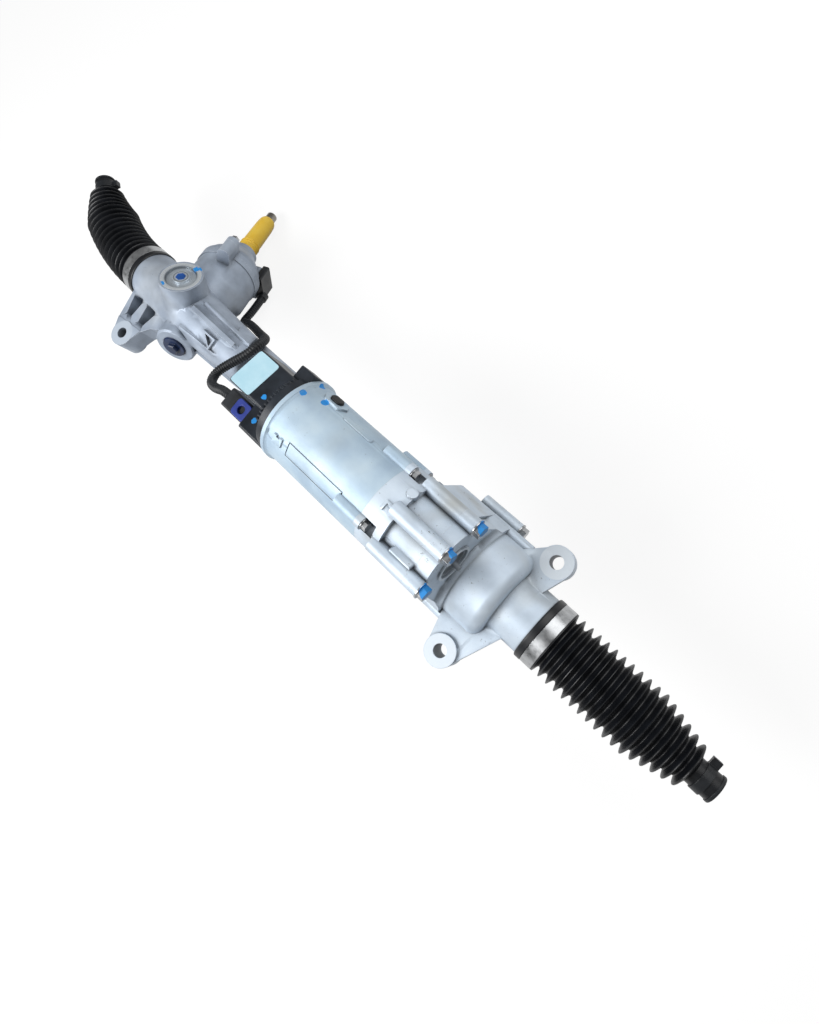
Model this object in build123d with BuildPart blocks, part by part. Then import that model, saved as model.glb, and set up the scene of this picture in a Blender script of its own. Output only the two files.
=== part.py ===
from build123d import *
from math import acos, cos, pi, radians, sin, tan
import os

os.makedirs("parts", exist_ok=True)

# The frame: the origin is the left mounting hole, on the plane where the ears sit on the subframe.
# X runs along the rack to its right end, Z along the mounting bolts, and Y across the housings.
rack_y = 74.0
rack_z = 12.0

# The middle of the belt along X. The motor, the housings of the drive and the right ears follow it.
belt_middle = 468.0
belt_to_motor = 44.0
motor_right = belt_middle - belt_to_motor

# Mounting ears
ear_height = 28.0
ear_radius = 15.5
ear_hole_radius = 6.5
pad_rise = 2.0
pad_step = 0.8
lower_ear_from_belt = 62.0
upper_ear_from_lower = 27.0
right_lower_ear_x = belt_middle + lower_ear_from_belt
right_upper_ear_x = right_lower_ear_x + upper_ear_from_lower
right_upper_ear_y = 129.0

# Rack bar
rack_radius = 13.0
rack_left = -68.0
rack_reach = 19.0
rack_thread_radius = 6.2
rack_thread_depth = 26.0
running_clearance = 0.05

# Pinion, set across the rack at an angle, behind it as seen from the yoke
crossing_x = 45.0
yoke_tilt = 30.0
cross_angle = 27.0
tooth_module = 1.9
pinion_teeth = 8
pressure_angle = 20.0
profile_shift = 0.55
pinion_tip_radius = 10.2
pinion_root_radius = 6.5
tooth_backlash = 0.12
tooth_flank_points = 6
rack_addendum = 0.9 * tooth_module
rack_dedendum = 1.05 * tooth_module
rack_gaps_each_side = 12
pinion_tooth_half = 19.0
pinion_journal_radius = 6.0
pinion_neck_radius = 9.0

# Pinion housing
tube_radius = 27.0
tube_bore = 21.0
tube_right = motor_right
body_run = 45.0
body_taper = 60.0
bore_step = 60.0
tube_flange = 8.0
tube_flange_radius = 30.5
tube_lug_radius = 7.0
tube_screw_circle = 36.0
tube_screw_radius = 3.0
tube_screw_angles = (-25.0, 205.0, 270.0)
seat_radius = 29.5
seat_length = 20.0
left_seat_end = -49.0
joint_pocket_radius = 20.5
joint_pocket_depth = 50.0
body_radius = 31.0
boss_radius = 25.0
yoke_cap_height = 50.0
yoke_radius = 20.0
yoke_plug_radius = 22.5
yoke_plug_thickness = 9.0
rack_bore = 13.6
bush_radius = 17.0
bush_length = 14.0
tower_radius = 40.0
tower_start = 50.0
tower_top = 88.0
tower_cavity_radius = 30.0
lower_boss_radius = 24.0
lower_boss_end = -46.0

# Bearings of the pinion: inner radius, outer radius and width
lower_bearing_radius = 14.0
lower_bearing_start = -40.0
lower_bearing_width = 9.0
upper_bearing_radius = 20.0
upper_bearing_start = 24.0
upper_bearing_width = 12.0
retainer_width = 5.0
pinion_seal_width = 6.0

# Torque sensor and input shaft, along the pinion axis from its crossing with the rack
sensor_radius = 36.0
sensor_neck_radius = 17.0
sensor_flange = 7.0
sensor_top = 134.0
sensor_wall = 3.5
sensor_bolt_circle = 51.0
sensor_bolt_angles = (-75.0, 105.0)
sensor_bolt_radius = 3.0
sensor_bolt_depth = 14.0
sensor_lug_radius = 8.0
tower_lug_start = 68.0
input_start = 56.0
input_radius = 9.5
input_sleeve_radius = 8.2
input_tip_radius = 7.0
input_tip_length = 13.0
input_end = 218.0
torsion_bar_radius = 4.0
sleeve_gap = 1.0
sleeve_radius = 13.0
sleeve_end_radius = 9.4

# Motor, parallel to the rack
motor_offset = 73.0
motor_radius = 41.5
motor_length = 125.0
motor_left = motor_right - motor_length
motor_wall = 3.0
motor_flange = 4.0
motor_screw_circle = 41.0
motor_screw_radius = 2.5
motor_screw_flange = 6.0
motor_screw_notch = 6.8
motor_screw_room = 12.0
rotor_radius = 22.0
stator_bore = 23.0
stator_radius = motor_radius - motor_wall
winding_gap = 2.5
stator_length = 70.0
motor_shaft_radius = 6.0
motor_bearing_radius = 16.0
motor_bearing_width = 9.0

# Control unit behind the motor
ecu_length = 62.0
ecu_left = motor_left - ecu_length
ecu_radius = 41.0
ecu_flange = 10.0
ecu_wall = 2.5
ecu_nose_left = -11.5
ecu_nose_right = 29.5
ecu_nose_top = 38.6
ecu_nose_slope = 10.5
ecu_nose_bottom = -17.0

# Belt drive and ball nut
belt_pitch = 5.0
motor_pulley_teeth = 18
nut_pulley_teeth = 50
belt_width = 20.0
belt_thickness = 2.4
belt_tooth_depth = 1.7
belt_pitch_line = 0.6
nut_radius = 24.0
nut_left = belt_middle - 14.0
nut_bearing_radius = 40.0
nut_bearing_left = belt_middle + 32.0
nut_bearing_width = 18.0
nut_right = nut_bearing_left + nut_bearing_width + 20.0

# Belt housing and gear housing
shoulder_x = belt_middle - 18.0
split_x = belt_middle + 18.0
drive_radius = 52.0
motor_drum_radius = 36.0
motor_drum_end = split_x + 14.0
skirt_end = split_x + 20.0
nut_drum_radius = 47.0
nut_drum_end = nut_right + 8.0
neck_radius = 31.0
gear_seat_end = nut_drum_end + 53.0
rack_length = gear_seat_end + rack_reach - rack_left
drive_bolt_radius = 4.0
drive_bolt_circle = 41.0
drive_boss_radius = 7.5

# Boots: seat bead, crests and the small end
bead_length = 7.0
bead_radius = 32.5
cuff_radius = 31.0
clamp_width = 12.0
clamp_thickness = 1.2
crest_count = 16
crest_pitch = 8.7
crest_radius = 32.0
root_radius = 25.5
boot_bore = 24.0
small_crest_radius = 21.0
small_end_radius = 12.0
small_end_bore = 9.5
small_end_length = 19.0
tapered_crests = 5
left_bend_angle = 33.0
left_bend_start = 10.0

# Sensor harness
harness_radius = 5.2

# Directions of the yoke, the pinion and the line across both
yoke_dir = Vector(0, sin(radians(yoke_tilt)), cos(radians(yoke_tilt)))
level_dir = Vector(0, cos(radians(yoke_tilt)), -sin(radians(yoke_tilt)))
pinion_dir = Vector(-sin(radians(cross_angle)), 0, 0) + level_dir * cos(radians(cross_angle))
across_dir = pinion_dir.cross(yoke_dir)

# The pinion's rolling circle, and how far its axis lies from the rack axis
pitch_radius = tooth_module * pinion_teeth / 2
rack_line = pitch_radius + profile_shift * tooth_module
rack_flat = 9.7
pinion_offset = rack_flat + rack_line - rack_addendum

crossing = Vector(crossing_x, rack_y, rack_z)
yoke_plane = Plane(origin=crossing, x_dir=(1, 0, 0), z_dir=yoke_dir)
pinion_plane = Plane(origin=crossing - yoke_dir * pinion_offset, x_dir=across_dir, z_dir=pinion_dir)
rack_axis = Axis((0, rack_y, rack_z), (1, 0, 0))
motor_z = rack_z + motor_offset
motor_axis = Axis((0, rack_y, motor_z), (1, 0, 0))


def across(x):
    """A plane across the rack at x. Its local x is the frame's Y, and its local y is Z."""
    return Plane(origin=(x, rack_y, rack_z), x_dir=(0, 1, 0), z_dir=(1, 0, 0))


def across_motor(x):
    """The same plane, centred on the motor axis."""
    return Plane(origin=(x, rack_y, motor_z), x_dir=(0, 1, 0), z_dir=(1, 0, 0))


def lengthwise(z):
    """A plane along X through the axis at height z, for profiles that turn about that axis."""
    return Plane(origin=(0, rack_y, z), x_dir=(1, 0, 0), z_dir=(0, -1, 0))


def turned(points, z=rack_z, mode=Mode.ADD):
    """Revolves a closed profile of (x, radius) points about the rack axis or the motor axis."""
    with BuildSketch(lengthwise(z)) as profile:
        with BuildLine():
            Polyline(*points, close=True)
        make_face()
    revolve(profile.sketch, axis=rack_axis if z == rack_z else motor_axis, mode=mode)


def pinion_turned(points, mode=Mode.ADD):
    """Revolves a closed profile of (radius, height along the pinion) points about the pinion axis."""
    side = Plane(origin=pinion_plane.origin, x_dir=across_dir, z_dir=yoke_dir)
    with BuildSketch(side) as profile:
        with BuildLine():
            Polyline(*points, close=True)
        make_face()
    revolve(profile.sketch, axis=Axis(pinion_plane.origin, pinion_dir), mode=mode)


def barrel(plane, radius, length, mode=Mode.ADD):
    """A round bar or hole of the given length, from the plane along its normal."""
    with BuildSketch(plane) as disc:
        Circle(radius)
    extrude(disc.sketch, amount=length, mode=mode)


def on_pinion(height):
    """A plane across the pinion at a height along it."""
    return pinion_plane.offset(height)


def around(angles, radius):
    """Points on a circle at the given angles, in degrees."""
    return [(radius * cos(radians(a)), radius * sin(radians(a))) for a in angles]


def leaning(x, axis_z, angle, radius):
    """A plane that touches a round about an axis along X, at x and an angle from upright towards +Y."""
    lean = Vector(0, sin(radians(angle)), cos(radians(angle)))
    return Plane(origin=Vector(x, rack_y, axis_z) + lean * radius, x_dir=(1, 0, 0), z_dir=lean)


def rib(angle, start, start_radius, end, end_radius, root, thickness):
    """A rib along X that stands on the rack tube at an angle from upright towards +Y."""
    side = Vector(0, cos(radians(angle)), -sin(radians(angle)))
    with BuildSketch(Plane(origin=(0, rack_y, rack_z), x_dir=(1, 0, 0), z_dir=-side)) as outline:
        with BuildLine():
            Polyline((start, root), (start + start_radius - root, start_radius),
                     (end - end_radius + root, end_radius), (end, root), close=True)
        make_face()
    extrude(outline.sketch, amount=thickness / 2, both=True)


# Rack bar: round steel, toothed at the left on the side away from the yoke, threaded at both ends.
normal_pitch = pi * tooth_module
gap_half = normal_pitch / 4 + tooth_backlash / 2
flank_slope = tan(radians(pressure_angle))
gap_mouth = gap_half + (rack_addendum + 1) * flank_slope
gap_floor = gap_half - rack_dedendum * flank_slope
with BuildPart() as rack_bar:
    barrel(across(rack_left), rack_radius, rack_length)
    chamfer(rack_bar.edges().filter_by(GeomType.CIRCLE), 1.5)
    flat_length = (2 * rack_gaps_each_side + 1) * normal_pitch / cos(radians(cross_angle)) + 4
    with BuildSketch(yoke_plane.offset(-rack_flat)):
        Rectangle(flat_length, 4 * rack_radius)
    extrude(amount=-rack_radius, mode=Mode.SUBTRACT)
    gap_reach = flat_length / 2 * sin(radians(cross_angle)) + 2 * rack_radius
    with BuildSketch(pinion_plane.offset(-gap_reach)):
        with Locations([(k * normal_pitch, 0) for k in range(-rack_gaps_each_side, rack_gaps_each_side + 1)]):
            with BuildLine(mode=Mode.PRIVATE) as gap:
                Polyline((-gap_mouth, rack_addendum + 1 - rack_line), (gap_mouth, rack_addendum + 1 - rack_line),
                         (gap_floor, -rack_dedendum - rack_line), (-gap_floor, -rack_dedendum - rack_line),
                         close=True)
            add(make_face(gap.edges(), mode=Mode.PRIVATE))
    extrude(amount=2 * gap_reach, mode=Mode.SUBTRACT)
    barrel(across(rack_left), rack_thread_radius, rack_thread_depth, Mode.SUBTRACT)
    barrel(across(rack_left + rack_length), rack_thread_radius, -rack_thread_depth, Mode.SUBTRACT)
rack_bar.part.label = "rack_bar"
export_step(rack_bar.part, "parts/rack_bar.step")


def involute_half_angle(radius):
    """Half the angle that a pinion tooth covers at a radius, from the involute of its base circle."""
    base = pitch_radius * cos(radians(pressure_angle))
    turn = acos(min(1.0, base / radius))
    start = radians(pressure_angle)
    thickness = tooth_module * (pi / 2 + 2 * profile_shift * flank_slope) - tooth_backlash
    return thickness / (2 * pitch_radius) + (tan(start) - start) - (tan(turn) - turn)


# Pinion shaft: eight involute teeth, in mesh with the rack, between two journals.
with BuildPart() as pinion_shaft:
    base_radius = pitch_radius * cos(radians(pressure_angle))
    steps = [base_radius + (pinion_tip_radius - base_radius) * k / tooth_flank_points
             for k in range(tooth_flank_points + 1)]
    with BuildSketch(on_pinion(-pinion_tooth_half)):
        Circle(pinion_root_radius)
        for tooth in range(pinion_teeth):
            middle = -pi / 2 + tooth * 2 * pi / pinion_teeth
            with BuildLine(mode=Mode.PRIVATE) as outline:
                left = [(r * cos(middle - involute_half_angle(r)), r * sin(middle - involute_half_angle(r)))
                        for r in steps]
                right = [(r * cos(middle + involute_half_angle(r)), r * sin(middle + involute_half_angle(r)))
                         for r in reversed(steps)]
                Spline(*left)
                Line(left[-1], right[0])
                Spline(*right)
                Polyline(right[-1], (0, 0), left[0])
            add(make_face(outline.edges(), mode=Mode.PRIVATE))
    extrude(amount=2 * pinion_tooth_half)
    barrel(on_pinion(lower_bearing_start), pinion_journal_radius, -lower_bearing_start - pinion_tooth_half)
    barrel(on_pinion(pinion_tooth_half), pinion_neck_radius, input_start - pinion_tooth_half - 1)
    barrel(on_pinion(pinion_tooth_half + 2), torsion_bar_radius, input_start - pinion_tooth_half, Mode.SUBTRACT)
pinion_shaft.part.label = "pinion_shaft"
export_step(pinion_shaft.part, "parts/pinion_shaft.step")


# Pinion housing: one casting with the boot seat, the yoke boss, the pinion tower, the left ear
# and the long tube over the rack.
left_seat_start = left_seat_end + seat_length
body_end = crossing_x + body_run
tube_start = body_end + body_taper
sensor_lugs = around(sensor_bolt_angles, sensor_bolt_circle)
tube_lugs = around(tube_screw_angles, tube_screw_circle)


def sensor_lug_outline():
    """The two lugs beside the tower and the webs that join them to it."""
    with Locations(sensor_lugs):
        Circle(sensor_lug_radius)
    for angle in sensor_bolt_angles:
        with Locations(around([angle], sensor_bolt_circle / 2)):
            Rectangle(sensor_bolt_circle, 2 * sensor_lug_radius, rotation=angle)


with BuildPart() as pinion_housing:
    turned([(left_seat_end, 0), (left_seat_end, seat_radius), (left_seat_start, seat_radius),
            (left_seat_start, body_radius), (crossing_x - 10, body_radius + 2),
            (body_end, tube_radius + 3), (tube_start, tube_radius), (tube_right - tube_flange, tube_radius),
            (tube_right - tube_flange, tube_flange_radius), (tube_right, tube_flange_radius), (tube_right, 0)])
    with BuildSketch(across(tube_right - tube_flange)):
        with Locations(tube_lugs):
            Circle(tube_lug_radius)
    extrude(amount=tube_flange)
    with BuildSketch(across(tube_right - tube_flange)):
        with Locations(tube_lugs):
            Circle(tube_screw_radius)
    extrude(amount=tube_flange, mode=Mode.SUBTRACT)
    rib(12, body_end - 26, body_radius + 4.5, tube_start + 8, tube_radius + 4, tube_radius - 4, 5)
    rib(38, body_end - 20, body_radius + 4, tube_start, tube_radius + 3.5, tube_radius - 4, 4)
    rib(-36, body_end - 28, body_radius + 4, tube_start - 10, tube_radius + 3, tube_radius - 4, 4.5)
    rib(-100, body_end - 20, body_radius + 3, tube_start + 30, tube_radius + 3, tube_radius - 4, 5)
    rib(180, body_end - 20, body_radius + 3, tube_right - 30, tube_radius + 3, tube_radius - 4, 5)
    with BuildSketch(leaning(body_end + 54, rack_z, 48, tube_radius + 3.5)):
        with BuildLine():
            Polyline((-15, 8), (12, 8), (18, -7), (-5, -7), close=True)
        make_face()
    extrude(amount=-8)
    with BuildSketch(leaning(body_end + 28, rack_z, -18, tube_radius + 4.5)):
        with BuildLine():
            Polyline((-12, 7), (10, 7), (7, -8), close=True)
        make_face()
    extrude(amount=-8)
    with BuildSketch(leaning(body_end + 28, rack_z, -18, tube_radius + 4.5)):
        with BuildLine():
            Polyline((-7, 5), (7.5, 5), (5.6, -4.5), close=True)
        make_face()
    extrude(amount=-3.5, mode=Mode.SUBTRACT)
    with BuildSketch(yoke_plane):
        Circle(boss_radius + 3)
    with BuildSketch(yoke_plane.offset(yoke_cap_height)):
        Circle(boss_radius)
    loft()
    pinion_turned([(0, lower_boss_end), (lower_boss_radius - 2, lower_boss_end), (lower_boss_radius, lower_boss_end + 2),
                   (lower_boss_radius + 3, 0), (tower_radius - 8, tower_start - 20), (tower_radius - 1, tower_start),
                   (tower_radius - 1, tower_top - sensor_flange), (tower_radius, tower_top - sensor_flange),
                   (tower_radius, tower_top), (0, tower_top)])
    with BuildSketch(on_pinion(tower_lug_start)):
        sensor_lug_outline()
    extrude(amount=tower_top - tower_lug_start)
    with BuildSketch(Plane.XY.offset(pad_rise)):
        with BuildLine():
            Polyline((-ear_radius, 0), (-21, 12), (-29, rack_y - 24), (-20, rack_y), (62, rack_y),
                     (44, 34), (30, 27), (21, 16), (ear_radius, 0), close=True)
        make_face()
    extrude(amount=ear_height - pad_rise - pad_step)
    with BuildSketch(Plane.XY.offset(ear_height - pad_step)):
        with BuildLine():
            Polyline((-ear_radius, 0), (-20.8, 12), (20.4, 16.5), (ear_radius, 0), close=True)
        make_face()
    extrude(amount=pad_step)
    barrel(Plane.XY, ear_radius, ear_height)
    with BuildSketch(Plane.XY.offset(ear_height)) as pockets:
        for outline in (((-22.5, 44), (-8, 47), (-4.5, 42), (-5.5, 21), (-14, 19.5)),
                        ((3.5, 46), (18, 47), (22, 42), (17.5, 21.5), (8.5, 20.5))):
            with BuildLine(mode=Mode.PRIVATE) as pocket:
                Polyline(*outline, close=True)
            add(make_face(pocket.edges(), mode=Mode.PRIVATE))
        fillet(pockets.vertices(), 2.4)
    extrude(amount=-ear_height + 6, mode=Mode.SUBTRACT)
    with BuildSketch(Plane.XY):
        Circle(ear_hole_radius)
    extrude(amount=ear_height, mode=Mode.SUBTRACT)
    barrel(across(left_seat_end), joint_pocket_radius, joint_pocket_depth, Mode.SUBTRACT)
    bush_start = left_seat_end + joint_pocket_depth
    bore_end = crossing_x + bore_step
    barrel(across(bush_start), bush_radius, bush_length, Mode.SUBTRACT)
    barrel(across(bush_start), rack_bore, bore_end - bush_start, Mode.SUBTRACT)
    barrel(across(bore_end), tube_bore, tube_right - bore_end, Mode.SUBTRACT)
    barrel(yoke_plane, yoke_radius + running_clearance, yoke_cap_height - yoke_plug_thickness, Mode.SUBTRACT)
    barrel(yoke_plane.offset(yoke_cap_height), yoke_plug_radius, -yoke_plug_thickness, Mode.SUBTRACT)
    barrel(on_pinion(lower_boss_end), lower_bearing_radius,
           lower_bearing_start + lower_bearing_width - lower_boss_end, Mode.SUBTRACT)
    barrel(on_pinion(lower_boss_end), pinion_tip_radius + 0.8, upper_bearing_start - lower_boss_end, Mode.SUBTRACT)
    barrel(on_pinion(upper_bearing_start), upper_bearing_radius, tower_top - upper_bearing_start, Mode.SUBTRACT)
    barrel(on_pinion(tower_start), tower_cavity_radius, tower_top - tower_start, Mode.SUBTRACT)
    with BuildSketch(on_pinion(tower_top)):
        with Locations(sensor_lugs):
            Circle(sensor_bolt_radius)
    extrude(amount=-sensor_bolt_depth - 1, mode=Mode.SUBTRACT)
pinion_housing.part.label = "pinion_housing"
export_step(pinion_housing.part, "parts/pinion_housing.step")


# Guide bush of the rack, pressed into the pinion housing.
with BuildPart() as rack_bush:
    barrel(across(bush_start), bush_radius, bush_length)
    barrel(across(bush_start), rack_radius + running_clearance, bush_length, Mode.SUBTRACT)
rack_bush.part.label = "rack_bush"
export_step(rack_bush.part, "parts/rack_bush.step")

# Yoke: a piston whose saddle presses the rack against the pinion.
yoke_foot = 3.0
yoke_head = 32.0
spring_pocket = 12.0
plug_floor = yoke_cap_height - yoke_plug_thickness
with BuildPart() as yoke:
    barrel(yoke_plane.offset(yoke_foot), yoke_radius, yoke_head - yoke_foot)
    barrel(across(rack_left), rack_radius + running_clearance, rack_length, Mode.SUBTRACT)
    barrel(yoke_plane.offset(yoke_head), 9.0, -spring_pocket, Mode.SUBTRACT)
yoke.part.label = "yoke"
export_step(yoke.part, "parts/yoke.step")

# Spring between the yoke and its plug.
spring_wire = 1.4
spring_height = plug_floor - yoke_head + spring_pocket - 2 * spring_wire
with BuildPart() as yoke_spring:
    with BuildLine() as coil:
        Helix(pitch=spring_height / 4, height=spring_height, radius=6.5,
              center=crossing + yoke_dir * (yoke_head - spring_pocket + spring_wire), direction=yoke_dir)
    with BuildSketch(Plane(origin=coil.line @ 0, z_dir=coil.line % 0)):
        Circle(spring_wire)
    sweep(path=coil.line, is_frenet=True)
yoke_spring.part.label = "yoke_spring"
export_step(yoke_spring.part, "parts/yoke_spring.step")

# Threaded plug over the yoke, with a raised rim and a square-edged hub for the tool.
with BuildPart() as yoke_plug:
    barrel(yoke_plane.offset(plug_floor), yoke_plug_radius, yoke_plug_thickness)
    with BuildSketch(yoke_plane.offset(yoke_cap_height)):
        Circle(yoke_plug_radius - 5)
        Circle(9.5, mode=Mode.SUBTRACT)
    extrude(amount=-2.5, mode=Mode.SUBTRACT)
    with BuildSketch(yoke_plane.offset(yoke_cap_height)):
        RegularPolygon(6.0, 6)
    extrude(amount=-5, mode=Mode.SUBTRACT)
yoke_plug.part.label = "yoke_plug"
export_step(yoke_plug.part, "parts/yoke_plug.step")

# Small hexagon cap that closes the middle of the yoke plug.
with BuildPart() as yoke_plug_cap:
    with BuildSketch(yoke_plane.offset(yoke_cap_height - 5)):
        RegularPolygon(6.0, 6)
    extrude(amount=5.6)
    chamfer(yoke_plug_cap.faces().sort_by(Axis(crossing, yoke_dir))[-1].edges(), 0.6)
yoke_plug_cap.part.label = "yoke_plug_cap"
export_step(yoke_plug_cap.part, "parts/yoke_plug_cap.step")


def ring(plane, outer, inner, length):
    """A plain ring from the plane along its normal."""
    barrel(plane, outer, length)
    barrel(plane, inner, length, Mode.SUBTRACT)


# Bearings, retainer and seal of the pinion.
with BuildPart() as pinion_lower_bearing:
    ring(on_pinion(lower_bearing_start), lower_bearing_radius, pinion_journal_radius + running_clearance,
         lower_bearing_width)
pinion_lower_bearing.part.label = "pinion_lower_bearing"
export_step(pinion_lower_bearing.part, "parts/pinion_lower_bearing.step")

with BuildPart() as pinion_upper_bearing:
    ring(on_pinion(upper_bearing_start), upper_bearing_radius, pinion_neck_radius + running_clearance,
         upper_bearing_width)
pinion_upper_bearing.part.label = "pinion_upper_bearing"
export_step(pinion_upper_bearing.part, "parts/pinion_upper_bearing.step")

retainer_start = upper_bearing_start + upper_bearing_width
with BuildPart() as pinion_bearing_retainer:
    ring(on_pinion(retainer_start), upper_bearing_radius, pinion_neck_radius + 3, retainer_width)
pinion_bearing_retainer.part.label = "pinion_bearing_retainer"
export_step(pinion_bearing_retainer.part, "parts/pinion_bearing_retainer.step")

pinion_seal_start = retainer_start + retainer_width
with BuildPart() as pinion_seal:
    ring(on_pinion(pinion_seal_start), upper_bearing_radius, pinion_neck_radius + running_clearance,
         pinion_seal_width)
pinion_seal.part.label = "pinion_seal"
export_step(pinion_seal.part, "parts/pinion_seal.step")

# Screw cap under the pinion: a round rim and a small hexagon head.
cap_rim = 2.5
cap_head = 7.0
with BuildPart() as pinion_lower_cap:
    barrel(on_pinion(lower_boss_end), lower_bearing_radius, lower_bearing_start - lower_boss_end)
    barrel(on_pinion(lower_boss_end), lower_bearing_radius - 1, -cap_rim)
    with BuildSketch(on_pinion(lower_boss_end - cap_rim)):
        RegularPolygon(7.5, 6)
    extrude(amount=cap_rim - cap_head)
    chamfer(pinion_lower_cap.faces().sort_by(Axis(pinion_plane.origin, pinion_dir))[0].edges(), 1.2)
pinion_lower_cap.part.label = "pinion_lower_cap"
export_step(pinion_lower_cap.part, "parts/pinion_lower_cap.step")

# Torsion bar inside the pinion and the input shaft.
torsion_bar_start = pinion_tooth_half + 2
torsion_bar_end = 118.0
with BuildPart() as torsion_bar:
    barrel(on_pinion(torsion_bar_start), torsion_bar_radius, torsion_bar_end - torsion_bar_start)
torsion_bar.part.label = "torsion_bar"
export_step(torsion_bar.part, "parts/torsion_bar.step")

# Input shaft, turned down to the end that takes the steering column's joint.
sleeve_start = sensor_top + sleeve_gap
input_tip_start = input_end - input_tip_length
with BuildPart() as input_shaft:
    pinion_turned([(0, input_start), (input_radius, input_start), (input_radius, sleeve_start),
                   (input_sleeve_radius, sleeve_start), (input_sleeve_radius, input_tip_start),
                   (input_tip_radius, input_tip_start), (input_tip_radius, input_end - 1),
                   (input_tip_radius - 1, input_end), (0, input_end)])
    barrel(on_pinion(input_start), torsion_bar_radius + running_clearance,
           torsion_bar_end + 2 - input_start, Mode.SUBTRACT)
input_shaft.part.label = "input_shaft"
export_step(input_shaft.part, "parts/input_shaft.step")

# Yellow protective sleeve on the input shaft.
sleeve_end = input_tip_start - 0.5
with BuildPart() as shaft_sleeve:
    pinion_turned([(input_sleeve_radius, sleeve_start), (sleeve_radius - 0.8, sleeve_start),
                   (sleeve_radius, sleeve_start + 1.5), (sleeve_radius, sleeve_start + 4),
                   (sleeve_radius - 0.9, sleeve_start + 6), (sleeve_radius - 1.4, sleeve_end - 14),
                   (sleeve_end_radius + 1.4, sleeve_end - 5), (sleeve_end_radius, sleeve_end),
                   (input_sleeve_radius, sleeve_end)])
shaft_sleeve.part.label = "shaft_sleeve"
export_step(shaft_sleeve.part, "parts/shaft_sleeve.step")

# Torque sensor: a magnet ring on the input shaft, flux rings on the pinion, and a fixed board.
magnet_start = input_start + 3
magnet_length = 10.0
magnet_outer = 14.0
with BuildPart() as sensor_magnet:
    ring(on_pinion(magnet_start), magnet_outer, input_radius, magnet_length)
sensor_magnet.part.label = "sensor_magnet"
export_step(sensor_magnet.part, "parts/sensor_magnet.step")

flux_start = input_start - 6
with BuildPart() as sensor_flux_rings:
    pinion_turned([(pinion_neck_radius, flux_start), (18, flux_start), (18, magnet_start + magnet_length),
                   (magnet_outer + 1, magnet_start + magnet_length), (magnet_outer + 1, input_start - 2),
                   (pinion_neck_radius, input_start - 2)])
sensor_flux_rings.part.label = "sensor_flux_rings"
export_step(sensor_flux_rings.part, "parts/sensor_flux_rings.step")

board_start = magnet_start + magnet_length + 5
with BuildPart() as sensor_board:
    ring(on_pinion(board_start), tower_cavity_radius, 20.0, 1.6)
sensor_board.part.label = "sensor_board"
export_step(sensor_board.part, "parts/sensor_board.step")

# Sensor housing, bolted on the tower through two lugs: a cone that narrows to the shaft, with a boxed
# socket at its side for the plug.
socket_middle_x = 18.0
socket_middle_y = 20.0
socket_width = 26.0
socket_height = 32.0
socket_start = tower_top + sensor_flange
socket_length = 26.0
seal_radius = 14.0
seal_width = 4.0
with BuildPart() as sensor_housing:
    pinion_turned([(0, tower_top), (tower_radius, tower_top), (tower_radius, tower_top + sensor_flange - 1),
                   (tower_radius - 1, tower_top + sensor_flange), (sensor_radius + 1, tower_top + sensor_flange),
                   (sensor_radius, tower_top + sensor_flange + 7), (sensor_neck_radius + 1.5, sensor_top - 9),
                   (sensor_neck_radius, sensor_top - 6), (sensor_neck_radius, sensor_top - 1),
                   (sensor_neck_radius - 1, sensor_top), (0, sensor_top)])
    with BuildSketch(on_pinion(tower_top)):
        sensor_lug_outline()
    extrude(amount=sensor_flange)
    with BuildSketch(on_pinion(socket_start)):
        with Locations((socket_middle_x, socket_middle_y)):
            RectangleRounded(socket_width, socket_height, 3)
    extrude(amount=socket_length)
    pinion_turned([(0, tower_top), (sensor_radius - sensor_wall, tower_top),
                   (sensor_radius - sensor_wall, tower_top + sensor_flange + 5),
                   (seal_radius, sensor_top - 10), (seal_radius, sensor_top), (0, sensor_top)], Mode.SUBTRACT)
    with BuildSketch(on_pinion(tower_top)):
        with Locations(sensor_lugs):
            Circle(sensor_bolt_radius)
    extrude(amount=sensor_flange, mode=Mode.SUBTRACT)
sensor_housing.part.label = "sensor_housing"
export_step(sensor_housing.part, "parts/sensor_housing.step")

with BuildPart() as input_seal:
    ring(on_pinion(sensor_top - seal_width), seal_radius, input_radius + running_clearance, seal_width)
input_seal.part.label = "input_seal"
export_step(input_seal.part, "parts/input_seal.step")


def spot_on(plane, point):
    """The same plane, moved to one of its own points."""
    return Plane(origin=plane.from_local_coords((point[0], point[1], 0)), x_dir=plane.x_dir, z_dir=plane.z_dir)


def hex_bolt(plane, radius, length, head_radius, head_height, washer=1.2):
    """A flange bolt: its head stands on the plane, and its shank goes back through it."""
    barrel(plane, head_radius * 1.25, washer)
    with BuildSketch(plane.offset(washer)) as head:
        RegularPolygon(head_radius, 6)
    extrude(head.sketch, amount=head_height - washer)
    barrel(plane, radius, -length)


# Two bolts that hold the sensor housing on the tower.
with BuildPart() as sensor_bolts:
    for place in sensor_lugs:
        seat = spot_on(on_pinion(tower_top + sensor_flange), place)
        hex_bolt(seat, sensor_bolt_radius, sensor_flange + sensor_bolt_depth, 5.2, 6.0)
sensor_bolts.part.label = "sensor_bolts"
export_step(sensor_bolts.part, "parts/sensor_bolts.step")


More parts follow.
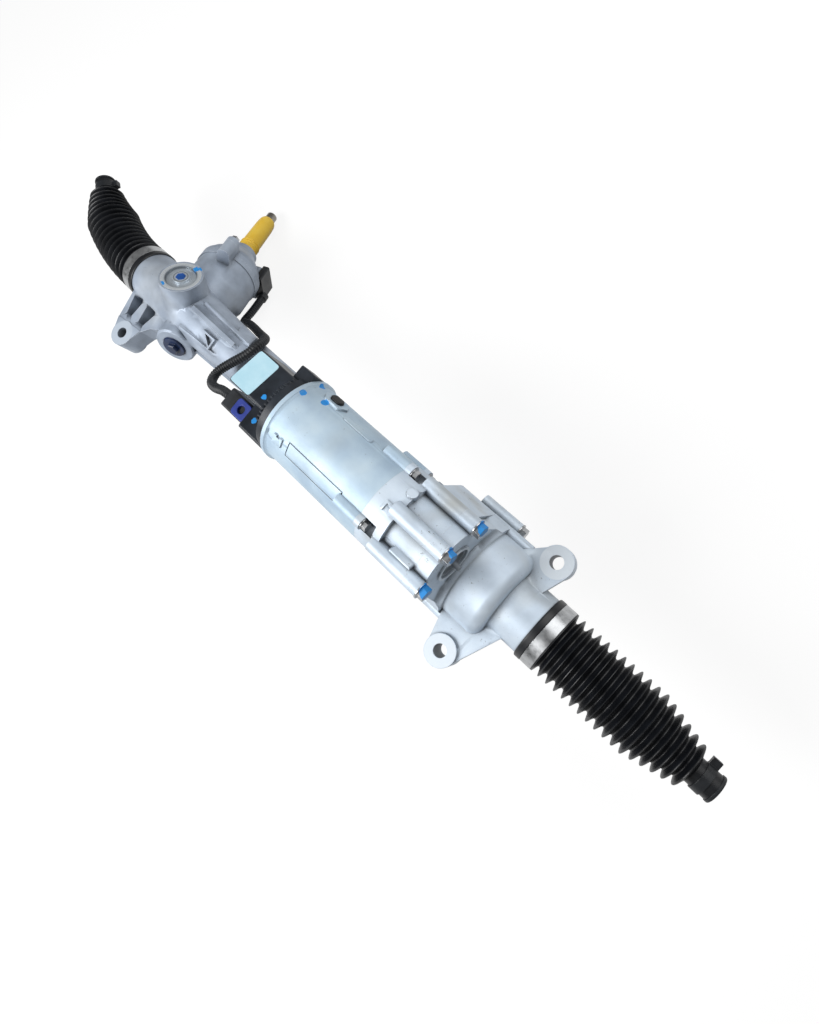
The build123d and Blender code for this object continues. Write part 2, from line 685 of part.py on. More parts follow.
# Motor housing: a deep cup with a flange towards the control unit, a bearing seat in its floor
# and four screw bosses at its open end. Its side carries a pad for the vent plug, a long bar,
# a notched lug and a shallow frame.
motor_floor = 5.0
hub_length = motor_bearing_width + 1
motor_screw_angles = (30.0, 122.0, 202.0, 338.0)
motor_boss_radius = 6.5
motor_boss_length = 26.0
motor_screw_depth = 20.0
vent_angle = 62.0
vent_x = motor_left + 31.0
vent_seat = motor_radius + 2.2
with BuildPart() as motor_housing:
    turned([(motor_left, 0), (motor_left, motor_radius + 2.5), (motor_left + motor_flange, motor_radius + 2.5),
            (motor_left + motor_flange + 2, motor_radius), (motor_right, motor_radius), (motor_right, 0)], motor_z)
    with BuildSketch(across_motor(motor_right - motor_boss_length)):
        with Locations(around(motor_screw_angles, motor_screw_circle)):
            Circle(motor_boss_radius)
    extrude(amount=motor_boss_length)
    with BuildSketch(leaning(vent_x, motor_z, vent_angle, vent_seat)):
        with BuildLine():
            Polyline((-14, 0), (-8, 8), (8, 8), (14, 0), (8, -8), (-8, -8), close=True)
        make_face()
    extrude(amount=-6)
    with BuildSketch(leaning(vent_x + 37, motor_z, vent_angle - 11, motor_radius + 1.4)):
        SlotOverall(36, 5)
    extrude(amount=-4)
    with BuildSketch(leaning(motor_left + 19, motor_z, -30, motor_radius + 1.6)):
        Rectangle(11, 9)
        with Locations((0, 4.5)):
            Rectangle(4, 4, mode=Mode.SUBTRACT)
    extrude(amount=-4)
    with BuildSketch(leaning(motor_left + 66, motor_z, -30, motor_radius)):
        Rectangle(70, 15)
        Rectangle(67.6, 12.6, mode=Mode.SUBTRACT)
    extrude(amount=-1.2, mode=Mode.SUBTRACT)
    turned([(motor_left + motor_floor, 0), (motor_left + motor_floor, motor_radius - motor_wall),
            (motor_right, motor_radius - motor_wall), (motor_right, 0)], motor_z, Mode.SUBTRACT)
    barrel(across_motor(motor_left + motor_floor), motor_bearing_radius + 4, hub_length)
    barrel(across_motor(motor_left + motor_floor), motor_bearing_radius, hub_length, Mode.SUBTRACT)
    with BuildSketch(across_motor(motor_right - motor_screw_depth)):
        with Locations(around(motor_screw_angles, motor_screw_circle)):
            Circle(motor_screw_radius)
    extrude(amount=motor_screw_depth, mode=Mode.SUBTRACT)
motor_housing.part.label = "motor_housing"
export_step(motor_housing.part, "parts/motor_housing.step")

# Oval rubber plug on the pad of the motor housing.
with BuildPart() as motor_plug:
    with BuildSketch(leaning(vent_x, motor_z, vent_angle, vent_seat)):
        SlotOverall(14, 9)
    extrude(amount=2.4)
    fillet(motor_plug.faces().sort_by(Axis((0, 0, 0), leaning(0, 0, vent_angle, 1).z_dir))[-1].edges(), 0.8)
motor_plug.part.label = "motor_plug"
export_step(motor_plug.part, "parts/motor_plug.step")

# Stator core pressed into the motor housing, with its windings standing out at both ends.
stator_left = motor_left + 23.0
winding_length = 11.0
with BuildPart() as stator_core:
    ring(across_motor(stator_left), stator_radius, stator_bore, stator_length)
stator_core.part.label = "stator_core"
export_step(stator_core.part, "parts/stator_core.step")

with BuildPart() as stator_windings:
    for start in (stator_left - winding_length, stator_left + stator_length):
        ring(across_motor(start), stator_radius - winding_gap, stator_bore + 2, winding_length)
stator_windings.part.label = "stator_windings"
export_step(stator_windings.part, "parts/stator_windings.step")

# Rotor core with its magnets, on the motor shaft.
with BuildPart() as rotor_core:
    ring(across_motor(stator_left + 1), rotor_radius, motor_shaft_radius, stator_length - 2)
rotor_core.part.label = "rotor_core"
export_step(rotor_core.part, "parts/rotor_core.step")

shaft_end = belt_middle + belt_width / 2 + 4
rear_bearing_start = motor_left + motor_floor + 1
front_bearing_start = motor_right + 2
with BuildPart() as motor_shaft:
    barrel(across_motor(rear_bearing_start), motor_shaft_radius, shaft_end - rear_bearing_start)
    chamfer(motor_shaft.edges().filter_by(GeomType.CIRCLE), 0.8)
motor_shaft.part.label = "motor_shaft"
export_step(motor_shaft.part, "parts/motor_shaft.step")

with BuildPart() as motor_rear_bearing:
    ring(across_motor(rear_bearing_start), motor_bearing_radius, motor_shaft_radius + running_clearance,
         motor_bearing_width)
motor_rear_bearing.part.label = "motor_rear_bearing"
export_step(motor_rear_bearing.part, "parts/motor_rear_bearing.step")

with BuildPart() as motor_front_bearing:
    ring(across_motor(front_bearing_start), motor_bearing_radius, motor_shaft_radius + running_clearance,
         motor_bearing_width)
motor_front_bearing.part.label = "motor_front_bearing"
export_step(motor_front_bearing.part, "parts/motor_front_bearing.step")


def pulley_radius(teeth):
    """The tip radius of a toothed pulley, from the belt's pitch."""
    return belt_pitch * teeth / (2 * pi) - belt_pitch_line


def pulley_profile(teeth):
    """A round pulley profile with one trapezium groove for each tooth of the belt."""
    tip = pulley_radius(teeth)
    Circle(tip)
    with PolarLocations(tip - belt_tooth_depth / 2, teeth):
        Trapezoid(belt_tooth_depth * 1.1, belt_tooth_depth, 70, rotation=90, mode=Mode.SUBTRACT)


# The two toothed pulleys, with side rims on the small one.
pulley_left = belt_middle - belt_width / 2 - 1
pulley_length = belt_width + 2
with BuildPart() as motor_pulley:
    with BuildSketch(across_motor(pulley_left)):
        pulley_profile(motor_pulley_teeth)
    extrude(amount=pulley_length)
    for rim in (pulley_left - 1.5, pulley_left + pulley_length):
        barrel(across_motor(rim), pulley_radius(motor_pulley_teeth) + 2, 1.5)
    barrel(across_motor(pulley_left - 1.5), motor_shaft_radius, pulley_length + 3, Mode.SUBTRACT)
motor_pulley.part.label = "motor_pulley"
export_step(motor_pulley.part, "parts/motor_pulley.step")

with BuildPart() as nut_pulley:
    with BuildSketch(across(pulley_left)):
        pulley_profile(nut_pulley_teeth)
    extrude(amount=pulley_length)
    barrel(across(pulley_left), nut_radius, pulley_length, Mode.SUBTRACT)
nut_pulley.part.label = "nut_pulley"
export_step(nut_pulley.part, "parts/nut_pulley.step")

# Drive belt around both pulleys.
belt_gap = 0.25
with BuildPart() as drive_belt:
    for grow, how in ((belt_gap + belt_thickness, Mode.ADD), (belt_gap, Mode.SUBTRACT)):
        with BuildSketch(across(belt_middle - belt_width / 2)):
            Circle(pulley_radius(nut_pulley_teeth) + grow)
            with Locations((0, motor_offset)):
                Circle(pulley_radius(motor_pulley_teeth) + grow)
            make_hull()
        extrude(amount=belt_width, mode=how)
drive_belt.part.label = "drive_belt"
export_step(drive_belt.part, "parts/drive_belt.step")

# Ball nut on the rack's screw, its bearing in the gear housing, and the ring that holds the bearing.
nut_collar = 30.0
with BuildPart() as ball_nut:
    barrel(across(nut_left), nut_radius, nut_right - nut_left)
    barrel(across(pulley_left + pulley_length), nut_collar, 3)
    barrel(across(nut_left), rack_radius + running_clearance, nut_right - nut_left, Mode.SUBTRACT)
ball_nut.part.label = "ball_nut"
export_step(ball_nut.part, "parts/ball_nut.step")

with BuildPart() as nut_bearing:
    ring(across(nut_bearing_left), nut_bearing_radius, nut_radius + running_clearance, nut_bearing_width)
nut_bearing.part.label = "nut_bearing"
export_step(nut_bearing.part, "parts/nut_bearing.step")

bearing_ring_width = 7.0
with BuildPart() as nut_bearing_ring:
    ring(across(nut_bearing_left - bearing_ring_width), nut_bearing_radius, nut_collar + 2, bearing_ring_width)
nut_bearing_ring.part.label = "nut_bearing_ring"
export_step(nut_bearing_ring.part, "parts/nut_bearing_ring.step")

nut_lock_width = 8.0
with BuildPart() as nut_lock_ring:
    ring(across(nut_bearing_left + nut_bearing_width + 0.3), nut_collar, nut_radius, nut_lock_width)
nut_lock_ring.part.label = "nut_lock_ring"
export_step(nut_lock_ring.part, "parts/nut_lock_ring.step")


def drive_outline(rack_side, motor_side):
    """The outline that wraps the rack side and the motor side of the belt drive."""
    Circle(rack_side)
    with Locations((0, motor_offset)):
        Circle(motor_side)
    make_hull()


# Belt housing: the casting between the motor and the gear housing. Its round front carries the motor,
# and behind the shoulder it narrows to the outline of the belt.
drive_bolt_angles = (28.0, 82.0, 136.0)
rack_bolt_angles = (200.0, 270.0, 340.0)
rack_bolt_circle = 57.0
belt_room_start = belt_middle - belt_width / 2 - 6
belt_room_rack = nut_drum_radius - 0.5
belt_room_motor = 22.0
rack_lug_start = split_x - 24
with BuildPart() as belt_housing:
    barrel(across_motor(motor_right), motor_radius, shoulder_x - motor_right)
    with BuildSketch(across_motor(motor_right)):
        with Locations(around(motor_screw_angles, motor_screw_circle)):
            Circle(motor_boss_radius)
    extrude(amount=motor_screw_flange)
    barrel(across(motor_right), tube_flange_radius, 14)
    with BuildSketch(across(motor_right)):
        with Locations(tube_lugs):
            Circle(tube_lug_radius)
    extrude(amount=14)
    with BuildSketch(across(motor_right + 10)):
        drive_outline(tube_flange_radius, motor_drum_radius)
    extrude(amount=shoulder_x - 18 - motor_right)
    with BuildSketch(across(shoulder_x - 8)):
        drive_outline(drive_radius, motor_drum_radius)
    extrude(amount=split_x - shoulder_x + 8)
    with BuildSketch(across_motor(shoulder_x - 6)):
        with Locations(around(drive_bolt_angles, drive_bolt_circle)):
            Circle(drive_boss_radius)
    extrude(amount=split_x - shoulder_x + 6)
    with BuildSketch(across(rack_lug_start)):
        with Locations(around(rack_bolt_angles, rack_bolt_circle)):
            Circle(drive_boss_radius)
    extrude(amount=split_x - rack_lug_start)
    with BuildSketch(leaning(shoulder_x - 4, motor_z, 34, motor_radius + 1.5)):
        Circle(5)
    extrude(amount=-5)
    with BuildSketch(leaning(shoulder_x - 9, motor_z, 8, motor_radius + 0.9)):
        Rectangle(12, 2.4)
        with Locations((-4.8, -4)):
            Rectangle(2.4, 8)
    extrude(amount=-4)
    with BuildSketch(leaning(split_x - 13, motor_z, -41, motor_drum_radius + 5)):
        RectangleRounded(24, 15, 2)
    extrude(amount=-9)
    with BuildSketch(leaning(split_x - 11, motor_z, -77, motor_drum_radius + 5)):
        Circle(6)
    extrude(amount=-9)
    with BuildSketch(leaning(split_x - 11, motor_z, -77, motor_drum_radius + 5)):
        Circle(3.2)
    extrude(amount=-4, mode=Mode.SUBTRACT)
    with BuildSketch(across(belt_room_start)):
        drive_outline(belt_room_rack, belt_room_motor)
    extrude(amount=split_x - belt_room_start, mode=Mode.SUBTRACT)
    with BuildSketch(across_motor(motor_right + motor_screw_flange)):
        with Locations(around(motor_screw_angles, motor_screw_circle)):
            Circle(motor_screw_notch)
    extrude(amount=motor_screw_room, mode=Mode.SUBTRACT)
    barrel(across(motor_right), tube_bore, split_x - motor_right, Mode.SUBTRACT)
    barrel(across_motor(motor_right), motor_bearing_radius, motor_bearing_width + 2, Mode.SUBTRACT)
    barrel(across_motor(motor_right), motor_shaft_radius + 3, split_x - motor_right, Mode.SUBTRACT)
    with BuildSketch(across_motor(motor_right)):
        with Locations(around(motor_screw_angles, motor_screw_circle)):
            Circle(motor_screw_radius)
    extrude(amount=motor_screw_flange, mode=Mode.SUBTRACT)
    with BuildSketch(across(motor_right)):
        with Locations(tube_lugs):
            Circle(tube_screw_radius)
    extrude(amount=10, mode=Mode.SUBTRACT)
    with BuildSketch(across_motor(split_x)):
        with Locations(around(drive_bolt_angles, drive_bolt_circle)):
            Circle(drive_bolt_radius)
        with Locations([(y, z - motor_offset) for y, z in around(rack_bolt_angles, rack_bolt_circle)]):
            Circle(drive_bolt_radius)
    extrude(amount=-18, mode=Mode.SUBTRACT)
belt_housing.part.label = "belt_housing"
export_step(belt_housing.part, "parts/belt_housing.step")

# Gear housing: the casting around the ball nut, with two mounting ears and the right boot seat.
gear_seat_start = gear_seat_end - seat_length
nut_room_end = nut_right + 3
skirt_lug_end = skirt_end + 2
upper_boss_y = 46.0
ear_web = 12.0
with BuildPart() as gear_housing:
    with BuildSketch(across(split_x)):
        drive_outline(nut_drum_radius, motor_drum_radius)
    extrude(amount=motor_drum_end - split_x)
    barrel(across(split_x), drive_radius, skirt_end - split_x)
    barrel(across(split_x), nut_drum_radius, nut_drum_end - split_x)
    fillet(gear_housing.faces().sort_by(Axis.X)[-1].edges(), 11)
    turned([(nut_drum_end - 8, 0), (nut_drum_end - 8, neck_radius + 3), (nut_drum_end + 6, neck_radius),
            (gear_seat_start - 18, neck_radius), (gear_seat_start - 17, neck_radius - 0.6),
            (gear_seat_start, neck_radius - 0.6), (gear_seat_start, seat_radius),
            (gear_seat_end, seat_radius), (gear_seat_end, 0)])
    with BuildSketch(across_motor(split_x)):
        with Locations(around(drive_bolt_angles, drive_bolt_circle)):
            Circle(drive_boss_radius)
    extrude(amount=motor_drum_end + 1 - split_x)
    with BuildSketch(across(split_x)):
        with Locations(around(rack_bolt_angles, rack_bolt_circle)):
            Circle(drive_boss_radius)
    extrude(amount=skirt_lug_end - split_x)
    barrel(across_motor(motor_drum_end), motor_bearing_radius + 2.5, 2)
    with BuildSketch(across(split_x)):
        with Locations((upper_boss_y, 8)):
            Circle(6.5)
    extrude(amount=right_upper_ear_x - 24 - split_x)
    with BuildSketch(Plane.XY.offset(ear_height - ear_web)):
        with BuildLine():
            Polyline((split_x + 20, rack_y - 44), (right_lower_ear_x - ear_radius, 0),
                     (right_lower_ear_x + ear_radius - 3, -9), (gear_seat_start - 15, rack_y - 26),
                     (gear_seat_start - 15, rack_y), (split_x + 20, rack_y), close=True)
        make_face()
    extrude(amount=ear_web - 3)
    with BuildSketch(Plane.XY.offset(ear_height - ear_web)):
        with BuildLine():
            Polyline((right_upper_ear_x - 33, rack_y), (right_upper_ear_x - 35, right_upper_ear_y - 16),
                     (right_upper_ear_x - 6, right_upper_ear_y + 14),
                     (right_upper_ear_x + 15, right_upper_ear_y - 5), (gear_seat_start - 15, rack_y + 25),
                     (gear_seat_start - 15, rack_y), close=True)
        make_face()
    extrude(amount=ear_web)
    with BuildSketch(Plane.XY):
        with Locations((right_lower_ear_x, 0), (right_upper_ear_x, right_upper_ear_y)):
            Circle(ear_radius)
    extrude(amount=ear_height)
    with BuildSketch(Plane.XY):
        with Locations((right_lower_ear_x, 0), (right_upper_ear_x, right_upper_ear_y)):
            Circle(ear_hole_radius)
    extrude(amount=ear_height, mode=Mode.SUBTRACT)
    with BuildSketch(across(split_x)):
        drive_outline(belt_room_rack - 5.5, belt_room_motor)
    extrude(amount=nut_bearing_left - bearing_ring_width - split_x, mode=Mode.SUBTRACT)
    barrel(across(split_x), nut_bearing_radius, nut_bearing_left + nut_bearing_width - split_x, Mode.SUBTRACT)
    barrel(across(split_x), nut_collar + 4, nut_room_end - split_x, Mode.SUBTRACT)
    barrel(across(split_x), rack_bore + 2, gear_seat_end - split_x, Mode.SUBTRACT)
    barrel(across(gear_seat_end), joint_pocket_radius, -joint_pocket_depth, Mode.SUBTRACT)
    barrel(across_motor(split_x), motor_bearing_radius, motor_drum_end + 2 - split_x, Mode.SUBTRACT)
    with BuildSketch(across_motor(split_x)):
        with Locations(around(drive_bolt_angles, drive_bolt_circle)):
            Circle(drive_bolt_radius)
        with Locations([(y, z - motor_offset) for y, z in around(rack_bolt_angles, rack_bolt_circle)]):
            Circle(drive_bolt_radius)
    extrude(amount=skirt_lug_end + 1 - split_x, mode=Mode.SUBTRACT)
gear_housing.part.label = "gear_housing"
export_step(gear_housing.part, "parts/gear_housing.step")

# Cover over the motor shaft's end, with a small vent stub.
with BuildPart() as shaft_end_cover:
    barrel(across_motor(nut_bearing_left - bearing_ring_width), motor_bearing_radius,
           motor_drum_end - nut_bearing_left + bearing_ring_width)
    barrel(across_motor(motor_drum_end), motor_bearing_radius - 3, -2.5, Mode.SUBTRACT)
    barrel(across_motor(motor_drum_end - 3), 2.5, 11)
shaft_end_cover.part.label = "shaft_end_cover"
export_step(shaft_end_cover.part, "parts/shaft_end_cover.step")


# Flange bolts through the gear housing into the belt housing.
drive_bolt_length = 33.0
with BuildPart() as drive_bolts:
    for place in around(drive_bolt_angles, drive_bolt_circle):
        hex_bolt(spot_on(across_motor(motor_drum_end + 1), place), drive_bolt_radius, drive_bolt_length, 6.5, 7.0)
    for place in around(rack_bolt_angles, rack_bolt_circle):
        hex_bolt(spot_on(across(skirt_lug_end), place), drive_bolt_radius, drive_bolt_length, 6.5, 7.0)
drive_bolts.part.label = "drive_bolts"
export_step(drive_bolts.part, "parts/drive_bolts.step")

# Screws that hold the motor on the belt housing, and the rack tube on its other side.
with BuildPart() as motor_screws:
    for place in around(motor_screw_angles, motor_screw_circle):
        hex_bolt(spot_on(across_motor(motor_right + motor_screw_flange), place), motor_screw_radius, 24, 4.4, 5.5, 1.0)
motor_screws.part.label = "motor_screws"
export_step(motor_screws.part, "parts/motor_screws.step")

with BuildPart() as tube_screws:
    for place in tube_lugs:
        seat = spot_on(across(tube_right - tube_flange), place)
        hex_bolt(Plane(origin=seat.origin, x_dir=seat.x_dir, z_dir=-seat.z_dir), tube_screw_radius, 16, 5.0, 6.0)
tube_screws.part.label = "tube_screws"
export_step(tube_screws.part, "parts/tube_screws.step")

# Control unit: a black cover closed towards the left. A round rim sits on the motor, the top of its nose
# slopes down towards +Y, and a socket stands at each side of it.
harness_socket_y = 44.0
harness_socket_z = 78.0
harness_plug_width = 21.0
harness_plug_height = 18.0
harness_socket_left = motor_left - 41.0
power_socket_left = motor_left - 19.0
power_socket_y = 34.0
power_socket_z = 84.0
power_socket_width = 18.0
power_socket_height = 26.0
nose_middle = (ecu_nose_left + ecu_nose_right) / 2
ecu_rim_start = motor_left - ecu_flange


def nose_outline(wall=0.0):
    """The nose's outline, drawn in by a wall."""
    Polygon((ecu_nose_left + wall, ecu_nose_bottom + wall), (ecu_nose_right - wall, ecu_nose_bottom + wall),
            (ecu_nose_right - wall, ecu_nose_top - ecu_nose_slope - wall),
            (ecu_nose_left + wall, ecu_nose_top - wall), align=None)


with BuildPart() as ecu_cover:
    with BuildSketch(across_motor(ecu_left)) as nose:
        nose_outline()
        fillet(nose.vertices(), 3)
    extrude(amount=ecu_length)
    fillet(ecu_cover.faces().sort_by(Axis.X)[0].edges(), 1.5)
    barrel(across_motor(ecu_rim_start), ecu_radius, ecu_flange)
    with BuildSketch(across_motor(ecu_rim_start)):
        with Locations(around([48 + 6 * k for k in range(13)], ecu_radius - 1.6)):
            Circle(1.5)
    extrude(amount=-3.5)
    with BuildSketch(across(harness_socket_left)):
        with Locations((harness_socket_y - rack_y + 4, harness_socket_z - rack_z + 3)):
            RectangleRounded(harness_plug_width + 12, harness_plug_height + 11, 3)
    extrude(amount=motor_left - harness_socket_left)
    with BuildSketch(across(power_socket_left)):
        with Locations((power_socket_y, power_socket_z)):
            RectangleRounded(power_socket_width, power_socket_height, 2)
    extrude(amount=motor_left - power_socket_left)
    with BuildSketch(across(power_socket_left)):
        with Locations((power_socket_y + 1, power_socket_z)):
            Rectangle(power_socket_width - 7, power_socket_height - 7)
    extrude(amount=8, mode=Mode.SUBTRACT)
    with BuildSketch(across_motor(ecu_left + ecu_wall)):
        nose_outline(ecu_wall)
    extrude(amount=ecu_length - ecu_wall, mode=Mode.SUBTRACT)
    barrel(across_motor(ecu_rim_start + ecu_wall), ecu_radius - ecu_wall, ecu_flange - ecu_wall, Mode.SUBTRACT)
ecu_cover.part.label = "ecu_cover"
export_step(ecu_cover.part, "parts/ecu_cover.step")

# Circuit board of the control unit, with its capacitors.
ecu_board_x = motor_left - 5.0
with BuildPart() as ecu_board:
    barrel(across_motor(ecu_board_x), ecu_radius - ecu_wall, 1.8)
    with BuildSketch(across_motor(ecu_board_x)):
        with Locations((nose_middle, -7), (nose_middle, 7), (nose_middle, 21)):
            Circle(6)
    extrude(amount=-16)
ecu_board.part.label = "ecu_board"
export_step(ecu_board.part, "parts/ecu_board.step")

# Boots: rubber bellows from a bead on the housing to a small end that would hold a tie rod.
first_crest = 27.5
taper_start = first_crest + (crest_count - tapered_crests - 1) * crest_pitch - crest_pitch / 2
small_end_start = first_crest + crest_count * crest_pitch - crest_pitch / 2
small_end_stop = small_end_start + small_end_length


def crest_size(index):
    """The crest radius of one fold: the last few taper towards the small end."""
    past = max(0, index - (crest_count - tapered_crests - 1))
    return crest_radius - past * (crest_radius - small_crest_radius) / tapered_crests


def fold_depth():
    """How deep the folds are."""
    return crest_radius - root_radius


def boot_outside():
    """Points (distance from the bead, radius) of the folds, from the first root to the small end."""
    points = [(first_crest - crest_pitch / 2, root_radius + 2)]
    for index in range(crest_count):
        points.append((first_crest + index * crest_pitch, crest_size(index)))
        points.append((first_crest + (index + 0.5) * crest_pitch, crest_size(index) - fold_depth()))
    points[-1] = (small_end_start, small_end_radius + 2.5)
    return points


boot_wall = root_radius - boot_bore
cuff_end = bead_length + clamp_width
inside_points = [(seat_length, boot_bore), (taper_start, boot_bore),
                 (small_end_start - crest_pitch / 2, crest_size(crest_count - 1) - fold_depth() - boot_wall),
                 (small_end_start, small_end_bore), (small_end_stop, small_end_bore)]

with BuildPart() as boot_right:
    outside = [(0, seat_radius), (0, bead_radius), (bead_length, bead_radius), (bead_length, cuff_radius),
               (cuff_end, cuff_radius), (cuff_end, cuff_radius + 1), (cuff_end + 1.5, cuff_radius + 1)]
    outside += boot_outside()
    outside += [(small_end_start + 2, small_end_radius), (small_end_stop, small_end_radius)]
    inside = [(seat_length, seat_radius)] + inside_points
    turned([(gear_seat_start + t, r) for t, r in outside + inside[::-1]])
boot_right.part.label = "boot_right"
export_step(boot_right.part, "parts/boot_right.step")


def bent_frame(distance):
    """A plane across the left boot at a distance from its bead: straight, then an arc, then straight."""
    straight = seat_length + left_bend_start
    bend_radius = (small_end_start - straight) / radians(left_bend_angle)
    turn = max(0.0, min(small_end_start, distance) - straight) / bend_radius
    onward = min(distance, straight) + bend_radius * sin(turn)
    sideways = bend_radius * (1 - cos(turn))
    past = max(0.0, distance - small_end_start)
    origin = (left_seat_start - onward - past * cos(turn), rack_y + sideways + past * sin(turn), rack_z)
    return Plane(origin=origin, x_dir=(sin(turn), cos(turn), 0), z_dir=(-cos(turn), sin(turn), 0))


def bent_skin(points):
    """A closed skin through circles of the given (distance, radius) points, on the bent centre line."""
    rings = []
    for distance, radius in points:
        with BuildSketch(bent_frame(distance)) as section:
            Circle(radius)
        rings.append(section.sketch)
    return loft(rings, ruled=True, mode=Mode.PRIVATE)


with BuildPart() as boot_left:
    barrel(bent_frame(0), bead_radius, bead_length)
    barrel(bent_frame(bead_length), cuff_radius, clamp_width)
    barrel(bent_frame(cuff_end), cuff_radius + 1, 1.5)
    add(bent_skin([(cuff_end + 1.5, cuff_radius + 1)] + boot_outside()
                  + [(small_end_start + 2, small_end_radius), (small_end_stop, small_end_radius)]))
    barrel(bent_frame(0), seat_radius, seat_length, Mode.SUBTRACT)
    bore = [(seat_length + left_bend_start * k, boot_bore) for k in range(2)]
    bend_start, bend_end = bore[-1][0], taper_start
    bore += [(bend_start + (bend_end - bend_start) * k / tapered_crests, boot_bore)
             for k in range(1, tapered_crests + 1)]
    add(bent_skin(bore + inside_points[2:]), mode=Mode.SUBTRACT)
boot_left.part.label = "boot_left"
export_step(boot_left.part, "parts/boot_left.step")

# Clamps of the boots: a bright band at the big end and a black one with a pinched ear at the small end.
with BuildPart() as clamp_right:
    ring(across(gear_seat_start + bead_length + running_clearance), cuff_radius + clamp_thickness,
         cuff_radius + running_clearance, clamp_width - 2 * running_clearance)
clamp_right.part.label = "clamp_right"
export_step(clamp_right.part, "parts/clamp_right.step")

with BuildPart() as clamp_left:
    ring(bent_frame(bead_length + running_clearance), cuff_radius + clamp_thickness,
         cuff_radius + running_clearance, clamp_width - 2 * running_clearance)
clamp_left.part.label = "clamp_left"
export_step(clamp_left.part, "parts/clamp_left.step")

small_clamp_start = small_end_start + 5
small_clamp_width = 8.0
small_ear_height = 6.6


def right_frame(distance):
    """A plane across the right boot at a distance from its bead."""
    return across(gear_seat_start + distance)


def small_clamp(frame, x_side):
    """A band around the small end with an ear that stands out."""
    plane = frame(small_clamp_start)
    ring(plane, small_end_radius + clamp_thickness, small_end_radius, small_clamp_width)
    ear_plane = spot_on(plane, (x_side * (small_end_radius + small_ear_height / 2 + 0.4), 0))
    with BuildSketch(ear_plane) as ear:
        Rectangle(small_ear_height, 7)
    extrude(ear.sketch, amount=small_clamp_width)


with BuildPart() as small_clamp_right:
    small_clamp(right_frame, 1)
small_clamp_right.part.label = "small_clamp_right"
export_step(small_clamp_right.part, "parts/small_clamp_right.step")

with BuildPart() as small_clamp_left:
    small_clamp(bent_frame, 1)
small_clamp_left.part.label = "small_clamp_left"
export_step(small_clamp_left.part, "parts/small_clamp_left.step")

# Plugs that close the small ends while no tie rods are fitted.
plug_depth = 15.0
plug_rim = 3.0
for frame, label in ((right_frame, "end_plug_right"), (bent_frame, "end_plug_left")):
    with BuildPart() as end_plug:
        barrel(frame(small_end_stop), small_end_bore, -plug_depth)
        barrel(frame(small_end_stop), small_end_radius + 0.8, plug_rim)
        fillet(end_plug.faces().sort_by(Axis(frame(small_end_stop).origin, frame(small_end_stop).z_dir))[-1].edges(), 1.2)
        barrel(frame(small_end_stop + plug_rim), 6.0, -1.5, Mode.SUBTRACT)
    end_plug.part.label = label
    export_step(end_plug.part, f"parts/{label}.step")

# Sensor plug: a flat body on the face of the socket, with the cable's sleeve at its lower corner.
sensor_plug_depth = 9.0
sensor_plug_face = socket_middle_x + socket_width / 2
cable_x = sensor_plug_face + 5.5
cable_y = socket_middle_y + 13.0
plug_start = socket_start + 3.0
with BuildPart() as sensor_plug:
    with BuildSketch(on_pinion(plug_start)):
        with Locations((sensor_plug_face + sensor_plug_depth / 2, socket_middle_y)):
            RectangleRounded(sensor_plug_depth, socket_height + 3, 2)
    extrude(amount=socket_length - 1)
    with BuildSketch(on_pinion(plug_start - 4)):
        with Locations((cable_x + 1.5, cable_y)):
            Circle(6.5)
    extrude(amount=8)
    with BuildSketch(on_pinion(tower_top)):
        with Locations((socket_middle_x, socket_middle_y)):
            Rectangle(socket_width, socket_height + 6)
    extrude(amount=sensor_top - tower_top, mode=Mode.SUBTRACT)
    pinion_turned([(0, socket_start), (sensor_radius + 1.3, socket_start), (sensor_radius + 0.3, socket_start + 7),
                   (sensor_neck_radius + 1.8, sensor_top - 9), (0, sensor_top - 9)], Mode.SUBTRACT)
sensor_plug.part.label = "sensor_plug"
export_step(sensor_plug.part, "parts/sensor_plug.step")

# Plug of the harness at the control unit, with the blue lever that locks it.
ecu_plug_start = harness_socket_left - 38.0
ecu_plug_plane = Plane(origin=(ecu_plug_start, harness_socket_y, harness_socket_z), x_dir=(0, 1, 0),
                       z_dir=(1, 0, 0))
with BuildPart() as ecu_plug:
    with BuildSketch(ecu_plug_plane):
        RectangleRounded(harness_plug_width, harness_plug_height, 2)
    extrude(amount=harness_socket_left - ecu_plug_start)
ecu_plug.part.label = "ecu_plug"
export_step(ecu_plug.part, "parts/ecu_plug.step")

lever_thickness = 2.6
with BuildPart() as ecu_plug_lever:
    with BuildSketch(Plane.XY.offset(harness_socket_z + harness_plug_height / 2)):
        with Locations((harness_socket_left - 13, harness_socket_y)):
            RectangleRounded(20, harness_plug_width - 3, 4)
            Circle(4.2, mode=Mode.SUBTRACT)
    extrude(amount=lever_thickness)
    chamfer(ecu_plug_lever.faces().sort_by(Axis.Z)[-1].edges(), 0.5)
ecu_plug_lever.part.label = "ecu_plug_lever"
export_step(ecu_plug_lever.part, "parts/ecu_plug_lever.step")


def by_pinion(along_across, towards_yoke, height):
    """A point given by its distances across the pinion, towards the yoke and along the pinion."""
    return pinion_plane.from_local_coords((along_across, -towards_yoke, height))


# Sensor harness: a corrugated tube from the sensor's plug, up beside the rack tube and over it to the
# control unit.
harness_points = [
    by_pinion(cable_x + 1.5, -cable_y, plug_start - 4),
    by_pinion(cable_x + 1.5, -cable_y, plug_start - 26),
    by_pinion(cable_x - 5, -cable_y - 5, plug_start - 48),
    Vector(72, 104, -48),
    Vector(100, 105.5, -28),
    Vector(126, 105.5, -10),
    Vector(149, 106.5, 8),
    Vector(169, 107.5, 30),
    Vector(180, 99, 47),
    Vector(179, 82, 52),
    Vector(170, 65, 51.5),
    Vector(163, 48, 51.5),
    Vector(170, 36, 57),
    Vector(188, 37.5, 66),
    Vector(205, harness_socket_y, harness_socket_z - 1),
    Vector(ecu_plug_start, harness_socket_y, harness_socket_z - 1),
]


